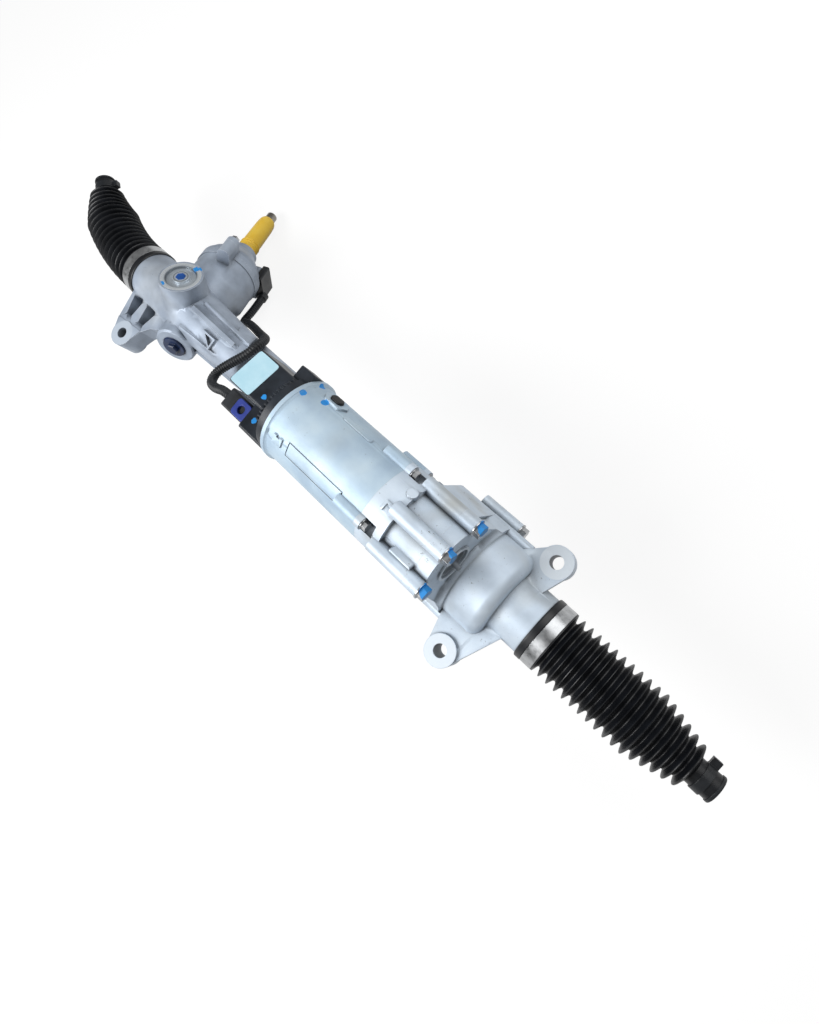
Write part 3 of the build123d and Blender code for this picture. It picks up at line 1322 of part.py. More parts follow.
def corner_radii(points):
    """The largest round that each corner of a route has room for."""
    radii = []
    for before, here, after in zip(points, points[1:], points[2:]):
        turn = radians((here - before).get_angle(after - here))
        shorter = min((here - before).length, (after - here).length)
        radii.append(0.45 * shorter / tan(turn / 2))
    return radii


harness_radii = corner_radii(harness_points)
print("harness radii", [round(r, 1) for r in harness_radii])
with BuildPart() as sensor_harness:
    with BuildLine() as route:
        FilletPolyline(*harness_points, radius=harness_radii)
    with BuildSketch(Plane(origin=route.line @ 0, z_dir=route.line % 0)):
        Circle(harness_radius)
    sweep(path=route.line)
harness_length = sum(edge.length for edge in route.edges())
print("harness volume", round(sensor_harness.part.volume), "section by length",
      round(pi * harness_radius ** 2 * harness_length))
sensor_harness.part.label = "sensor_harness"
export_step(sensor_harness.part, "parts/sensor_harness.step")
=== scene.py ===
import math
import bmesh
import bpy
import numpy as np
from mathutils import Matrix, Vector


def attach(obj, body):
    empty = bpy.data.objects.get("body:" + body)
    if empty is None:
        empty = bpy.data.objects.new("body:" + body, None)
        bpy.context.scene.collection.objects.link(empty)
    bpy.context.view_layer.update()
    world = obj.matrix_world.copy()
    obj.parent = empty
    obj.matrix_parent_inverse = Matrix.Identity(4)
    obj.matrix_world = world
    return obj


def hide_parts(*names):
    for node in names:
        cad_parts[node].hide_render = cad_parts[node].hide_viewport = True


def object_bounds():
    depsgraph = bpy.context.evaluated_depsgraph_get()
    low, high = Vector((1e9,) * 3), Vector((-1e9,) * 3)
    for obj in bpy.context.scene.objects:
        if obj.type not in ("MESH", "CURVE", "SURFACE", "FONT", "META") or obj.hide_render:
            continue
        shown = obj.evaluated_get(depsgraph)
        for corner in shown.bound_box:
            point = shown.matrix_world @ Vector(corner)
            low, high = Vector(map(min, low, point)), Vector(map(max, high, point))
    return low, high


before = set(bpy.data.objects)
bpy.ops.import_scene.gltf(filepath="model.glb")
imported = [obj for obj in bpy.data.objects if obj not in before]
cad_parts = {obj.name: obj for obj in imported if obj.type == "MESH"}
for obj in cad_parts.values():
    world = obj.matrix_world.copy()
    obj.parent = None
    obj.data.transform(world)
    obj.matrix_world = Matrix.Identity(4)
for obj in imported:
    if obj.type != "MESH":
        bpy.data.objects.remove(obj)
cad_low, cad_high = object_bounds()

# Rack bar and the other ground parts inside: alloy steel, hardened and ground. The wheel leaves a fine, even
# sheen, and an oil film keeps them bright with a slightly brown cast.


def colour(code):
    """An sRGB hex value as linear red, green, blue and alpha."""
    parts = np.array([int(code[i:i + 2], 16) for i in (1, 3, 5)]) / 255
    linear = np.where(parts <= 0.04045, parts / 12.92, ((parts + 0.055) / 1.055) ** 2.4)
    return (*linear.tolist(), 1.0)


def add(tree, kind, inputs=(), stops=(), **settings):
    """Adds one shader node with its settings, and gives its sockets values or links, by name or in order.

    A colour ramp's stops are pairs of a place from nought to one and a hex colour.
    """
    node = tree.nodes.new("ShaderNode" + kind)
    for name, value in settings.items():
        setattr(node, name, value)
    for socket, value in inputs.items() if isinstance(inputs, dict) else enumerate(inputs):
        if isinstance(value, bpy.types.NodeSocket):
            tree.links.new(value, node.inputs[socket])
        else:
            node.inputs[socket].default_value = value
    if stops:
        elements = node.color_ramp.elements
        while len(elements) < len(stops):
            elements.new(0.5)
        for element, (place, code) in zip(elements, stops):
            element.position = place
            element.color = colour(code)
    return node


def empty_finish(name, **sockets):
    """A material with one Principled shader, whose constant sockets are set directly, and its tree."""
    material = bpy.data.materials.new(name)
    material.use_nodes = True
    tree = material.node_tree
    shader = tree.nodes["Principled BSDF"]
    for socket, value in sockets.items():
        shader.inputs[socket].default_value = value
    return material, tree, shader


def spots(tree, size_mm, detail=3.0, roughness=0.6):
    """A cloudy pattern on the object's own coordinates, whose features are of about the given size.

    It runs from nought to one, and most of it lies between 0.3 and 0.7.
    """
    here = add(tree, "TexCoord").outputs["Object"]
    inputs = {"Vector": here, "Scale": 1000 / size_mm, "Detail": detail, "Roughness": roughness}
    return add(tree, "TexNoise", inputs).outputs["Fac"]


def bumps(tree, shader, height, depth_mm, edge_mm=0.0):
    """A relief of the given depth on the shader, over edges that are rounded to the given radius."""
    inputs = {"Height": height, "Distance": depth_mm / 1000, "Strength": 1.0}
    if edge_mm:
        inputs["Normal"] = add(tree, "Bevel", {"Radius": edge_mm / 1000}, samples=6).outputs["Normal"]
    tree.links.new(add(tree, "Bump", inputs).outputs["Normal"], shader.inputs["Normal"])


def dress(material, *nodes):
    """Gives the named CAD nodes one finish."""
    for node in nodes:
        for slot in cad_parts[node].material_slots:
            slot.material = material


def ground_steel():
    """Ground and oiled steel: grain changes how broad the highlight is, and the oil lies in clouds.

    Real grinding marks are a few hundredths of a millimetre apart, and are drawn at 1.6 mm so that they show.
    """
    grain_mm, film_mm = 1.6, 22.0
    material, tree, shader = empty_finish("ground_steel", Metallic=1.0)
    grain = spots(tree, grain_mm)
    oil_film_and_painted_shade = spots(tree, film_mm)
    skin = add(tree, "ValToRGB", [oil_film_and_painted_shade], stops=[(0.3, "#8C8780"), (0.7, "#A9A69F")])
    rough = add(tree, "MapRange", [grain, 0.3, 0.7, 0.24, 0.42])
    tree.links.new(skin.outputs[0], shader.inputs["Base Color"])
    tree.links.new(rough.outputs[0], shader.inputs["Roughness"])
    bumps(tree, shader, grain, 0.01, 0.4)
    return material


dress(ground_steel(), "rack_bar", "pinion_shaft", "input_shaft", "torsion_bar", "motor_shaft", "ball_nut",
      "yoke_spring", "pinion_lower_bearing", "pinion_upper_bearing", "motor_rear_bearing",
      "motor_front_bearing", "nut_bearing", "pinion_bearing_retainer", "nut_bearing_ring", "nut_lock_ring",
      "sensor_flux_rings", "motor_pulley")

# Housings of the rack, the torque sensor and the drive: aluminium castings. The mould leaves a fine grit,
# cutters leave the ear pads brighter, and the maker's inspector leaves dabs of blue paint.
# Painted shade darkens them where they are closed in, and a painted highlight brightens their open edges.


def cut_face(tree, place, normal, reach_mm):
    """One on the flat face through a place, within a reach of it, and nought off the face or past it."""
    face_depth_mm, fade_mm = 0.7, 0.6
    here = add(tree, "TexCoord").outputs["Object"]
    away = add(tree, "VectorMath", [here, place], operation="SUBTRACT").outputs["Vector"]
    height = add(tree, "VectorMath", [away, normal], operation="DOT_PRODUCT").outputs["Value"]
    off_face = add(tree, "Math", [height], operation="ABSOLUTE").outputs[0]
    on_face = add(tree, "MapRange", [off_face, 0.0, face_depth_mm / 1000, 1.0, 0.0]).outputs[0]
    far = add(tree, "VectorMath", [away], operation="LENGTH").outputs["Value"]
    within = add(tree, "MapRange", [far, reach_mm / 1000, (reach_mm + fade_mm) / 1000, 1.0, 0.0]).outputs[0]
    return add(tree, "Math", [on_face, within], operation="MULTIPLY").outputs[0]


def dabs(tree, marks):
    """One inside brush dabs given as (place, radius in mm), whose edges wander by 0.6 mm each way."""
    brush_mm, wander_mm, fade_mm = 4.0, 0.6, 0.3
    here = add(tree, "TexCoord").outputs["Object"]
    strokes = spots(tree, brush_mm, 1.0)
    wander = add(tree, "MapRange", [strokes, 0.3, 0.7, -wander_mm / 1000, wander_mm / 1000])
    inside = 0.0
    for place, radius_mm in marks:
        away = add(tree, "VectorMath", [here, place], operation="DISTANCE").outputs["Value"]
        edge = add(tree, "Math", [away, wander.outputs[0]], operation="ADD").outputs[0]
        dab = add(tree, "MapRange", [edge, (radius_mm - fade_mm) / 1000, radius_mm / 1000, 1.0, 0.0])
        inside = add(tree, "Math", [inside, dab.outputs[0]], operation="MAXIMUM").outputs[0]
    return inside


def paint_over(tree, shader, marks, skin, rough, metal):
    """Links colour, roughness and metal to the shader, with the dabs of blue paint laid over them."""
    if marks:
        inside = dabs(tree, marks)
        layers = {"Factor": inside, "A": skin, "B": colour("#2A92E0")}
        skin = add(tree, "Mix", layers, data_type="RGBA").outputs[2]
        rough = add(tree, "MapRange", [inside, 0.0, 1.0, rough, 0.42]).outputs[0]
        bare_metal = add(tree, "MapRange", [inside, 0.0, 1.0, metal, 0.0]).outputs[0]
        tree.links.new(bare_metal, shader.inputs["Metallic"])
    else:
        shader.inputs["Metallic"].default_value = metal
    tree.links.new(skin, shader.inputs["Base Color"])
    tree.links.new(rough, shader.inputs["Roughness"])


def painted_shade_and_edge_highlight(tree, skin):
    """Lays painted shade where a point is closed in, and a painted highlight on edges where they turn away.
    """
    hollow_mm, edge_mm = 14.0, 0.7
    closed = add(tree, "AmbientOcclusion", {"Distance": hollow_mm / 1000}, samples=8).outputs["AO"]
    # Painted shade: a dark grey laid where the surface is closed in, found by ambient occlusion.
    oil_film_and_painted_shade = add(tree, "MapRange", [closed, 0.35, 0.88, 0.85, 0.0]).outputs[0]
    layers = {"Factor": oil_film_and_painted_shade, "A": skin, "B": colour("#54585D")}
    skin = add(tree, "Mix", layers, data_type="RGBA").outputs[2]
    # Painted highlight: a near-white laid on edges that turn away and stay open.
    rounded = add(tree, "Bevel", {"Radius": edge_mm / 1000}, samples=4).outputs["Normal"]
    flat = add(tree, "NewGeometry").outputs["Normal"]
    same = add(tree, "VectorMath", [rounded, flat], operation="DOT_PRODUCT").outputs["Value"]
    turned = add(tree, "MapRange", [same, 0.80, 0.97, 0.8, 0.0]).outputs[0]
    exposed = add(tree, "MapRange", [closed, 0.6, 0.85, 0.0, 1.0]).outputs[0]
    painted_edge_highlight = add(tree, "Math", [turned, exposed], operation="MULTIPLY").outputs[0]
    layers = {"Factor": painted_edge_highlight, "A": skin, "B": colour("#E6EDF4")}
    return add(tree, "Mix", layers, data_type="RGBA").outputs[2]


def soiled(tree, skin, amount):
    """Lays a thin straw-coloured oil stain in clouds, and dark flecks of dried dirt in patches."""
    stain_mm, fleck_mm, patch_mm = 55.0, 2.2, 24.0
    cloud = spots(tree, stain_mm, 2.0, 0.5)
    stain = add(tree, "MapRange", [cloud, 0.5, 0.72, 0.0, 0.55 * amount]).outputs[0]
    layers = {"Factor": stain, "A": skin, "B": colour("#A39B84")}
    skin = add(tree, "Mix", layers, data_type="RGBA").outputs[2]
    fleck = add(tree, "MapRange", [spots(tree, fleck_mm, 2.0, 0.7), 0.66, 0.70, 0.0, 0.85]).outputs[0]
    patch = add(tree, "MapRange", [spots(tree, patch_mm, 1.0, 0.5), 0.52, 0.62, 0.0, amount]).outputs[0]
    speck = add(tree, "Math", [fleck, patch], operation="MULTIPLY").outputs[0]
    layers = {"Factor": speck, "A": skin, "B": colour("#3A3A3C")}
    return add(tree, "Mix", layers, data_type="RGBA").outputs[2]


def cast_aluminium(name, tones, soil, metal=0.28, cut_faces=(), cut="#E2EBF3", marks=()):
    """Cast aluminium, matt and finely gritty, with machined faces given as (place, normal, reach in mm).

    Its three tones lie in clouds, and soil is how much oil stain and dirt it carries, from nought to one.
    The mould's grit is about 0.4 mm and is drawn at 1.3 mm so that it shows.
    """
    grit_mm, cloud_mm = 1.3, 30.0
    material, tree, shader = empty_finish(name)
    grit = spots(tree, grit_mm, 4.0)
    cloud = spots(tree, cloud_mm, 3.0, 0.5)
    skin = add(tree, "ValToRGB", [cloud], stops=list(zip((0.34, 0.5, 0.68), tones))).outputs[0]
    # Painted shade in closed-in places and a painted highlight on open edges go over the oil stain and dirt.
    skin = painted_shade_and_edge_highlight(tree, soiled(tree, skin, soil))
    rough = add(tree, "MapRange", [grit, 0.3, 0.7, 0.45, 0.58]).outputs[0]
    if cut_faces:
        bright = 0.0
        for place, normal, reach_mm in cut_faces:
            face = cut_face(tree, place, normal, reach_mm)
            bright = add(tree, "Math", [bright, face], operation="MAXIMUM").outputs[0]
        skin = add(tree, "Mix", {"Factor": bright, "A": skin, "B": colour(cut)}, data_type="RGBA").outputs[2]
        rough = add(tree, "MapRange", [bright, 0.0, 1.0, rough, 0.55]).outputs[0]
    paint_over(tree, shader, marks, skin, rough, metal)
    bumps(tree, shader, grit, 0.06, 0.5)
    return material


def skin_of(node, material):
    """A copy of a housing node with its loose triangles joined, smooth except over edges past 20 degrees."""
    weld_distance, sharp_angle = 2e-6, math.radians(20)
    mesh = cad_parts[node].data.copy()
    joined = bmesh.new()
    joined.from_mesh(mesh)
    bmesh.ops.remove_doubles(joined, verts=joined.verts, dist=weld_distance)
    joined.to_mesh(mesh)
    joined.free()
    mesh.polygons.foreach_set("use_smooth", np.ones(len(mesh.polygons), bool))
    mesh.set_sharp_from_angle(angle=sharp_angle)
    mesh.materials.clear()
    mesh.materials.append(material)
    copy = bpy.data.objects.new(node + "_skin", mesh)
    bpy.context.scene.collection.objects.link(copy)
    weights = copy.modifiers.new("face_weights", "WEIGHTED_NORMAL")
    weights.keep_sharp = True
    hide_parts(node)
    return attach(copy, "housing")


up, along_rack = (0, 0, 1), (1, 0, 0)
ear_top, pad_reach = 0.028, 14.7
left_pad = ((0.0, 0.0, ear_top), up, pad_reach)
right_lower_pad = ((0.530, 0.0, ear_top), up, pad_reach)
right_upper_pad = ((0.557, 0.129, ear_top), up, pad_reach)
shaft_end_rim = ((0.502, 0.074, 0.085), along_rack, 18.8)
rack_tones = ("#98A3B2", "#A9B5C5", "#BAC6D6")
drive_tones = ("#C6D4E2", "#D4E2F0", "#DEEBF7")
tower_dabs = [((0.0368, 0.0642, 0.0755), 4.4), ((0.049, 0.1185, 0.0438), 3.6)]
skin_of("pinion_housing", cast_aluminium("sand_cast_pinion_housing", rack_tones, 0.4, cut_faces=[left_pad],
                                         cut="#BCC7D4", marks=tower_dabs))
skin_of("sensor_housing", cast_aluminium("sand_cast_sensor_housing", rack_tones, 0.4))
skin_of("belt_housing", cast_aluminium("die_cast_belt_housing", drive_tones, 1.0))
skin_of("gear_housing", cast_aluminium("die_cast_gear_housing", drive_tones, 0.7,
                                       cut_faces=[right_lower_pad, right_upper_pad, shaft_end_rim]))

# Motor housing: a die-cast aluminium drum, shot-blasted to a smooth, pale, slightly cool silver, with three
# dabs of the inspector's paint near the control unit.
motor_dabs = [((0.3052, 0.0988, 0.1182), 3.6), ((0.3049, 0.1129, 0.0997), 3.4),
              ((0.3257, 0.1048, 0.1128), 3.8)]
skin_of("motor_housing", cast_aluminium("blasted_motor_housing", ("#AFC6DA", "#BCD2E3", "#C8DCEA"), 0.3,
                                        metal=0.2, marks=motor_dabs))

# Yoke plug, and the yoke and nut pulley behind covers: turned aluminium. The lathe leaves rings around the
# axis, which catch the light, and painted shade draws a dark groove at each side of the plug's spanner ring.


def from_axis(tree, place, axis):
    """The distance in metres from an axis through a place."""
    here = add(tree, "TexCoord").outputs["Object"]
    away = add(tree, "VectorMath", [here, place], operation="SUBTRACT").outputs["Vector"]
    across = add(tree, "VectorMath", [away, axis], operation="CROSS_PRODUCT").outputs["Vector"]
    return add(tree, "VectorMath", [across], operation="LENGTH").outputs["Value"]


def turned_aluminium(place, axis, outside_radius, marks):
    """Turned aluminium: rings of tool marks half a millimetre apart, drawn at 1.1 mm so that they show."""
    mark_pitch = 0.0011
    material, tree, shader = empty_finish("turned_aluminium")
    radius = from_axis(tree, place, axis)
    phase = add(tree, "Math", [radius, 2 * math.pi / mark_pitch], operation="MULTIPLY").outputs[0]
    tool_marks = add(tree, "Math", [phase], operation="SINE").outputs[0]
    bands = add(tree, "MapRange", [radius, 0.0, outside_radius, 0.0, 1.0]).outputs[0]
    # The two dark stops are painted shade, drawn as the grooves beside the spanner ring.
    ring_tones_with_painted_groove_shade = [(0.0, "#C2CBD4"), (0.30, "#D4DDE5"), (0.34, "#7E858C"), (0.40, "#D0D9E1"),
                  (0.70, "#C2CBD3"), (0.76, "#767D84"), (0.84, "#DEE6EC"), (1.0, "#EEF3F7")]
    skin = add(tree, "ValToRGB", [bands], stops=ring_tones_with_painted_groove_shade).outputs[0]
    rough = add(tree, "MapRange", [tool_marks, -1.0, 1.0, 0.22, 0.38]).outputs[0]
    paint_over(tree, shader, marks, skin, rough, 0.55)
    bumps(tree, shader, tool_marks, 0.02, 0.4)
    return material


crossing = (0.045, 0.074, 0.012)
yoke_axis = (0.0, 0.5, 0.8660254)
plug_dabs = [((0.0405, 0.0790, 0.0668), 4.0), ((0.0462, 0.1168, 0.0450), 4.2)]
plug_finish = turned_aluminium(crossing, yoke_axis, 0.0225, plug_dabs)
skin_of("yoke_plug", plug_finish)
dress(plug_finish, "yoke", "nut_pulley")

# Moulded parts: caps, plugs and seals of plastic and rubber. Their moulds leave an even colour with a slight
# grain, and handling makes the sheen uneven. Coated, sintered and pressed parts look much the same.


def moulded(name, low, high, rough_low, rough_high, grain_mm=1.4, edge_mm=0.8, marks=()):
    """Moulded plastic or rubber: an even colour with a slight grain and a soft, uneven sheen.

    The mould's grain is a few tenths of a millimetre and is drawn at the given size so that it shows.
    """
    handled_mm = 18.0
    material, tree, shader = empty_finish(name)
    grain = spots(tree, grain_mm)
    wear = spots(tree, handled_mm)
    skin = add(tree, "ValToRGB", [wear], stops=[(0.35, low), (0.65, high)]).outputs[0]
    rough = add(tree, "MapRange", [wear, 0.3, 0.7, rough_low, rough_high]).outputs[0]
    paint_over(tree, shader, marks, skin, rough, 0.0)
    bumps(tree, shader, grain, 0.03, edge_mm)
    return material


dress(moulded("blue_polyamide_cap", "#1A4C94", "#1F5AAE", 0.35, 0.5), "yoke_plug_cap")
dress(moulded("dark_blue_coating", "#17243F", "#1C3159", 0.3, 0.45), "pinion_lower_cap")
dress(moulded("pressed_end_cover", "#868E96", "#989FA7", 0.4, 0.5), "shaft_end_cover")
dress(moulded("black_nylon", "#15181C", "#1F2328", 0.36, 0.52), "sensor_plug", "ecu_plug", "end_plug_left",
      "end_plug_right", "small_clamp_left", "small_clamp_right")
dress(moulded("blue_nylon_lever", "#26388C", "#3146A6", 0.35, 0.5), "ecu_plug_lever")
dress(moulded("nitrile_rubber", "#131313", "#1B1B1B", 0.5, 0.7), "pinion_seal", "input_seal", "drive_belt",
      "motor_plug")
dress(moulded("green_circuit_board", "#0F4A2A", "#166038", 0.35, 0.5), "sensor_board", "ecu_board")
dress(moulded("sintered_magnet", "#2A2A2C", "#353538", 0.4, 0.6), "sensor_magnet")
dress(moulded("bearing_bronze", "#8C6A3A", "#A88248", 0.3, 0.5), "rack_bush")
dress(moulded("enamelled_copper", "#9A4A1E", "#B8622E", 0.3, 0.4), "stator_windings")
dress(moulded("stacked_steel_sheet", "#4A4A4C", "#5C5C5E", 0.35, 0.5), "stator_core", "rotor_core")

# Control unit: a moulded nylon cover over the circuit board. A bare paper label is stuck across the
# slope of its nose, rounded at the corners, and stands a few tenths of a millimetre proud.
cover_dabs = [((0.2781, 0.0728, 0.1209), 2.8), ((0.2686, 0.0461, 0.0955), 3.0)]
skin_of("ecu_cover", moulded("black_nylon_cover", "#181D24", "#232A33", 0.34, 0.48, marks=cover_dabs))


def skin_from_rings(name, rings, material, body, caps=True):
    """A closed skin through equal rings of points, an array of ring by corner by three coordinates.

    Corner j of ring i joins corner j + 1 and the same two of ring i + 1. Each end closes on the mean point
    of its ring, and without caps the last ring joins the first. A skin whose signed volume comes out
    negative has its faces turned. It is smooth except over edges past 40 degrees.
    """
    count, corners, _ = rings.shape
    points = rings.reshape(-1, 3)
    row, column = np.meshgrid(np.arange(count - 1 if caps else count), np.arange(corners), indexing="ij")
    further = (column + 1) % corners
    onward = (row + 1) % count
    quads = np.stack([row * corners + column, row * corners + further, onward * corners + further,
                      onward * corners + column], axis=-1).reshape(-1, 4)
    triangles = np.empty((0, 3), int)
    if caps:
        points = np.vstack([points, rings[0].mean(axis=0), rings[-1].mean(axis=0)])
        here = np.arange(corners)
        there = (here + 1) % corners
        last = (count - 1) * corners
        first_cap = np.stack([np.full(corners, len(points) - 2), there, here], axis=-1)
        last_cap = np.stack([np.full(corners, len(points) - 1), last + here, last + there], axis=-1)
        triangles = np.vstack([first_cap, last_cap])
    halves = np.vstack([quads[:, [0, 1, 2]], quads[:, [0, 2, 3]], triangles])
    a, b, c = (points[halves[:, k]] for k in range(3))
    if np.einsum("ij,ij->", a, np.cross(b, c)) < 0:
        quads = quads[:, ::-1]
        triangles = triangles[:, ::-1]
    mesh = bpy.data.meshes.new(name)
    mesh.from_pydata(points.tolist(), [], quads.tolist() + triangles.tolist())
    mesh.polygons.foreach_set("use_smooth", np.ones(len(mesh.polygons), bool))
    mesh.set_sharp_from_angle(angle=math.radians(40))
    mesh.materials.append(material)
    piece = bpy.data.objects.new(name, mesh)
    bpy.context.scene.collection.objects.link(piece)
    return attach(piece, body)


def label_rings(centre, along, across, normal, length, width, lift, thickness):
    """A thin rounded rectangle as three rings: its outline low, its outline high and one drawn in a little.

    The outline is a superellipse of power 14, so that it has straight sides and small round corners.
    """
    power, drawn_in = 14, 0.985
    angle = np.linspace(0, 2 * np.pi, 96, endpoint=False)
    u = np.sign(np.cos(angle)) * np.abs(np.cos(angle)) ** (2 / power) * length / 2
    v = np.sign(np.sin(angle)) * np.abs(np.sin(angle)) ** (2 / power) * width / 2
    flat = centre + np.outer(u, along) + np.outer(v, across)
    middle = flat.mean(axis=0)
    top = (lift + thickness) * normal
    return np.array([flat + lift * normal, flat + top, middle + drawn_in * (flat - middle) + top])


nose_slope = math.radians(14.36)
label_centre = np.array([0.2520, 0.0830, 0.11835])
label_across = np.array([0.0, math.cos(nose_slope), -math.sin(nose_slope)])
label_normal = np.array([0.0, math.sin(nose_slope), math.cos(nose_slope)])
label_outline = label_rings(label_centre, np.array([1.0, 0.0, 0.0]), label_across, label_normal,
                            length=0.0275, width=0.0392, lift=0.0001, thickness=0.00025)
paper = moulded("coated_label_paper", "#B4DCEB", "#C2E5F2", 0.3, 0.42, grain_mm=0.8, edge_mm=0.0)
skin_from_rings("bare_label", label_outline, paper, "housing")

# Sleeve over the input shaft's splines: soft yellow polyethylene, pushed on by hand and pulled off before the
# rack is fitted. Four grip rings run round its foot, and it draws in to a rounded end.


def turned_rings(place, axis, height, outside, bore):
    """Rings of a turned part's outside and then of its bore, around an axis through a place.

    Each ring lies square to the axis at its height, at the outside radius there or at the bore's.
    """
    first = np.cross(axis, np.array([0.0, 0.0, 1.0]))
    first /= np.linalg.norm(first)
    second = np.cross(axis, first)
    angle = np.linspace(0, 2 * np.pi, 72, endpoint=False)
    ring = np.cos(angle)[:, None] * first + np.sin(angle)[:, None] * second
    line = place + np.outer(height, axis)
    outer = line[:, None] + outside[:, None, None] * ring
    return np.concatenate([outer, (line[:, None] + bore * ring)[::-1]])


pinion_origin = np.array([0.045, 0.065683, -0.002406])
pinion_axis = np.array([-0.4539905, 0.7716343, -0.4455033])
sleeve_foot, grip_end, sleeve_end = 0.135, 0.1515, 0.2045
grip_pitch, grip_height, first_grip = 0.004, 0.0011, 0.0025
sleeve_bore = 0.0082
height = np.concatenate([np.linspace(sleeve_foot, grip_end, 84),
                         np.linspace(grip_end + 0.001, sleeve_end, 40)])
sleeve_body = np.interp(height, [sleeve_foot, 0.152, 0.1905, 0.1995, 0.2025, sleeve_end],
                        [0.0118, 0.0121, 0.0116, 0.0109, 0.0102, 0.0092])
grips = grip_height * (0.5 + 0.5 * np.cos(2 * np.pi * (height - sleeve_foot - first_grip) / grip_pitch))
gripped = (height > sleeve_foot + 0.0005) & (height < grip_end - 0.0001)
sleeve_outside = sleeve_body + np.where(gripped, grips, 0.0)
sleeve_rings = turned_rings(pinion_origin, pinion_axis, height, sleeve_outside, sleeve_bore)
polyethylene = moulded("yellow_polyethylene_sleeve", "#F8CA3C", "#FED650", 0.4, 0.55)
sleeve = skin_from_rings("grip_sleeve", sleeve_rings, polyethylene, "input", caps=False)
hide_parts("shaft_sleeve")

# Fasteners and the big boot bands: steel with zinc plate, cool, bright and slightly cloudy. The heads of
# three drive bolts carry the inspector's blue paint.


def zinc_plate(name, marks=()):
    """Zinc plate on steel: a bright metal with a faint cloud in it."""
    cloud_mm = 6.0
    material, tree, shader = empty_finish(name)
    cloud = spots(tree, cloud_mm)
    skin = add(tree, "ValToRGB", [cloud], stops=[(0.3, "#A5A7A9"), (0.7, "#C4C6C8")]).outputs[0]
    rough = add(tree, "MapRange", [cloud, 0.3, 0.7, 0.24, 0.4]).outputs[0]
    paint_over(tree, shader, marks, skin, rough, 0.95)
    bumps(tree, shader, cloud, 0.02, 0.4)
    return material


bolt_dabs = [((0.507, 0.086, 0.124), 9.0), ((0.5085, 0.1145, 0.106), 8.0), ((0.5085, 0.0478, 0.117), 8.0)]
dress(zinc_plate("zinc_plate"), "sensor_bolts", "motor_screws", "tube_screws", "clamp_left", "clamp_right")
dress(zinc_plate("zinc_plate_with_paint", bolt_dabs), "drive_bolts")

# Boots: black rubber bellows with sharp crests and rounded valleys, blown in a mould. Each is seated by a
# bead on its housing, held by a steel band, and tapers over the last folds to a small end.
fold_start, fold_pitch, fold_count, tapered_folds = 0.0275, 0.0087, 16, 5
folds_end = fold_start + (fold_count - 0.5) * fold_pitch
crest_radius, root_radius, small_crest_radius, small_end_radius = 0.032, 0.0250, 0.021, 0.012
crest_sharpness, last_slope = 1.35, 0.0012
boot_length, cuff_length, bend_start = 0.1813, 0.0222, 0.030
nearly_straight = 1e6


def bellows(distance):
    """The outside radius of a boot at a distance from its bead, both in metres.

    The cuff is a bead, a groove for the band and a shoulder. Past it the radius is the root plus the
    fold's depth times a raised cosine to a power, which makes crests narrow and valleys broad. The last
    five crests fall evenly towards the small end.
    """
    place = (distance - fold_start) / fold_pitch
    past = np.clip(place - (fold_count - tapered_folds - 1), 0, tapered_folds)
    crest = crest_radius - past * (crest_radius - small_crest_radius) / tapered_folds
    fold = (0.5 + 0.5 * np.cos(2 * np.pi * place)) ** crest_sharpness
    folded = crest - (crest_radius - root_radius) * (1 - fold)
    drop = np.clip((folds_end - distance) / last_slope, 0, 1)
    neck = small_end_radius + (folded - small_end_radius) * drop
    cuff = np.interp(distance, [0, 0.0008, 0.0064, 0.007, 0.0071, 0.019, 0.0191, 0.0205, cuff_length],
                     [0.0317, 0.0325, 0.0325, 0.0317, 0.031, 0.031, 0.032, 0.032, 0.0257])
    return np.where(distance < cuff_length, cuff, np.where(distance > folds_end, small_end_radius, neck))


def boot_bore(distance):
    """The inside radius of a boot: wide over its seat, clear of the rack bar, and narrow at the small end."""
    seat_depth, seat_radius = 0.02, 0.0296
    clear = np.interp(distance, [seat_depth, 0.112, 0.158, 0.164, boot_length],
                      [0.0243, 0.0243, 0.0125, 0.0095, 0.0095])
    return np.where(distance < seat_depth, seat_radius, clear)


def boot_rings(start, way, bend_degrees):
    """Rings of a boot's outside and then of its inside, around a line that bends between two straights.

    The line runs from the start towards the way for 30 mm, turns towards +Y on an arc up to the small
    end, and goes straight on. Each ring lies square to the line, at the bellows' radius from it.
    """
    past_cuff, past_folds = cuff_length + 0.0005, folds_end + 0.00005
    distance = np.unique(np.concatenate([
        np.linspace(0, past_cuff, 40), np.linspace(past_cuff, past_folds, 257),
        np.linspace(past_folds, boot_length, 12)]))
    bend = math.radians(bend_degrees)
    arc = (folds_end - bend_start) / bend if bend else nearly_straight
    turn = (np.clip(distance, bend_start, folds_end) - bend_start) / arc
    past = np.maximum(distance - folds_end, 0)
    onward = np.minimum(distance, bend_start) + arc * np.sin(turn) + past * np.cos(turn)
    aside = arc * (1 - np.cos(turn)) + past * np.sin(turn)
    line = start + np.stack([way * onward, aside, 0 * onward], axis=-1)
    sideways = np.stack([-way * np.sin(turn), np.cos(turn), 0 * turn], axis=-1)
    angle = np.linspace(0, 2 * np.pi, 96, endpoint=False)
    ring = (np.cos(angle)[None, :, None] * sideways[:, None]
            + np.sin(angle)[None, :, None] * np.array([0, 0, 1.0]))
    outer = line[:, None] + bellows(distance)[:, None, None] * ring
    inner = line[:, None] + boot_bore(distance)[:, None, None] * ring
    return np.concatenate([outer, inner[::-1]])


boot_rubber = moulded("moulded_chloroprene", "#090B0F", "#101319", 0.34, 0.46, grain_mm=1.6, edge_mm=0.0)
for node, start, way, bend_degrees in (("boot_right", (0.579, 0.074, 0.012), 1, 0.0),
                                       ("boot_left", (-0.029, 0.074, 0.012), -1, 33.0)):
    rings = boot_rings(np.array(start), way, bend_degrees)
    boot = skin_from_rings(node + "_bellows", rings, boot_rubber, "housing", caps=False)
    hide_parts(node)

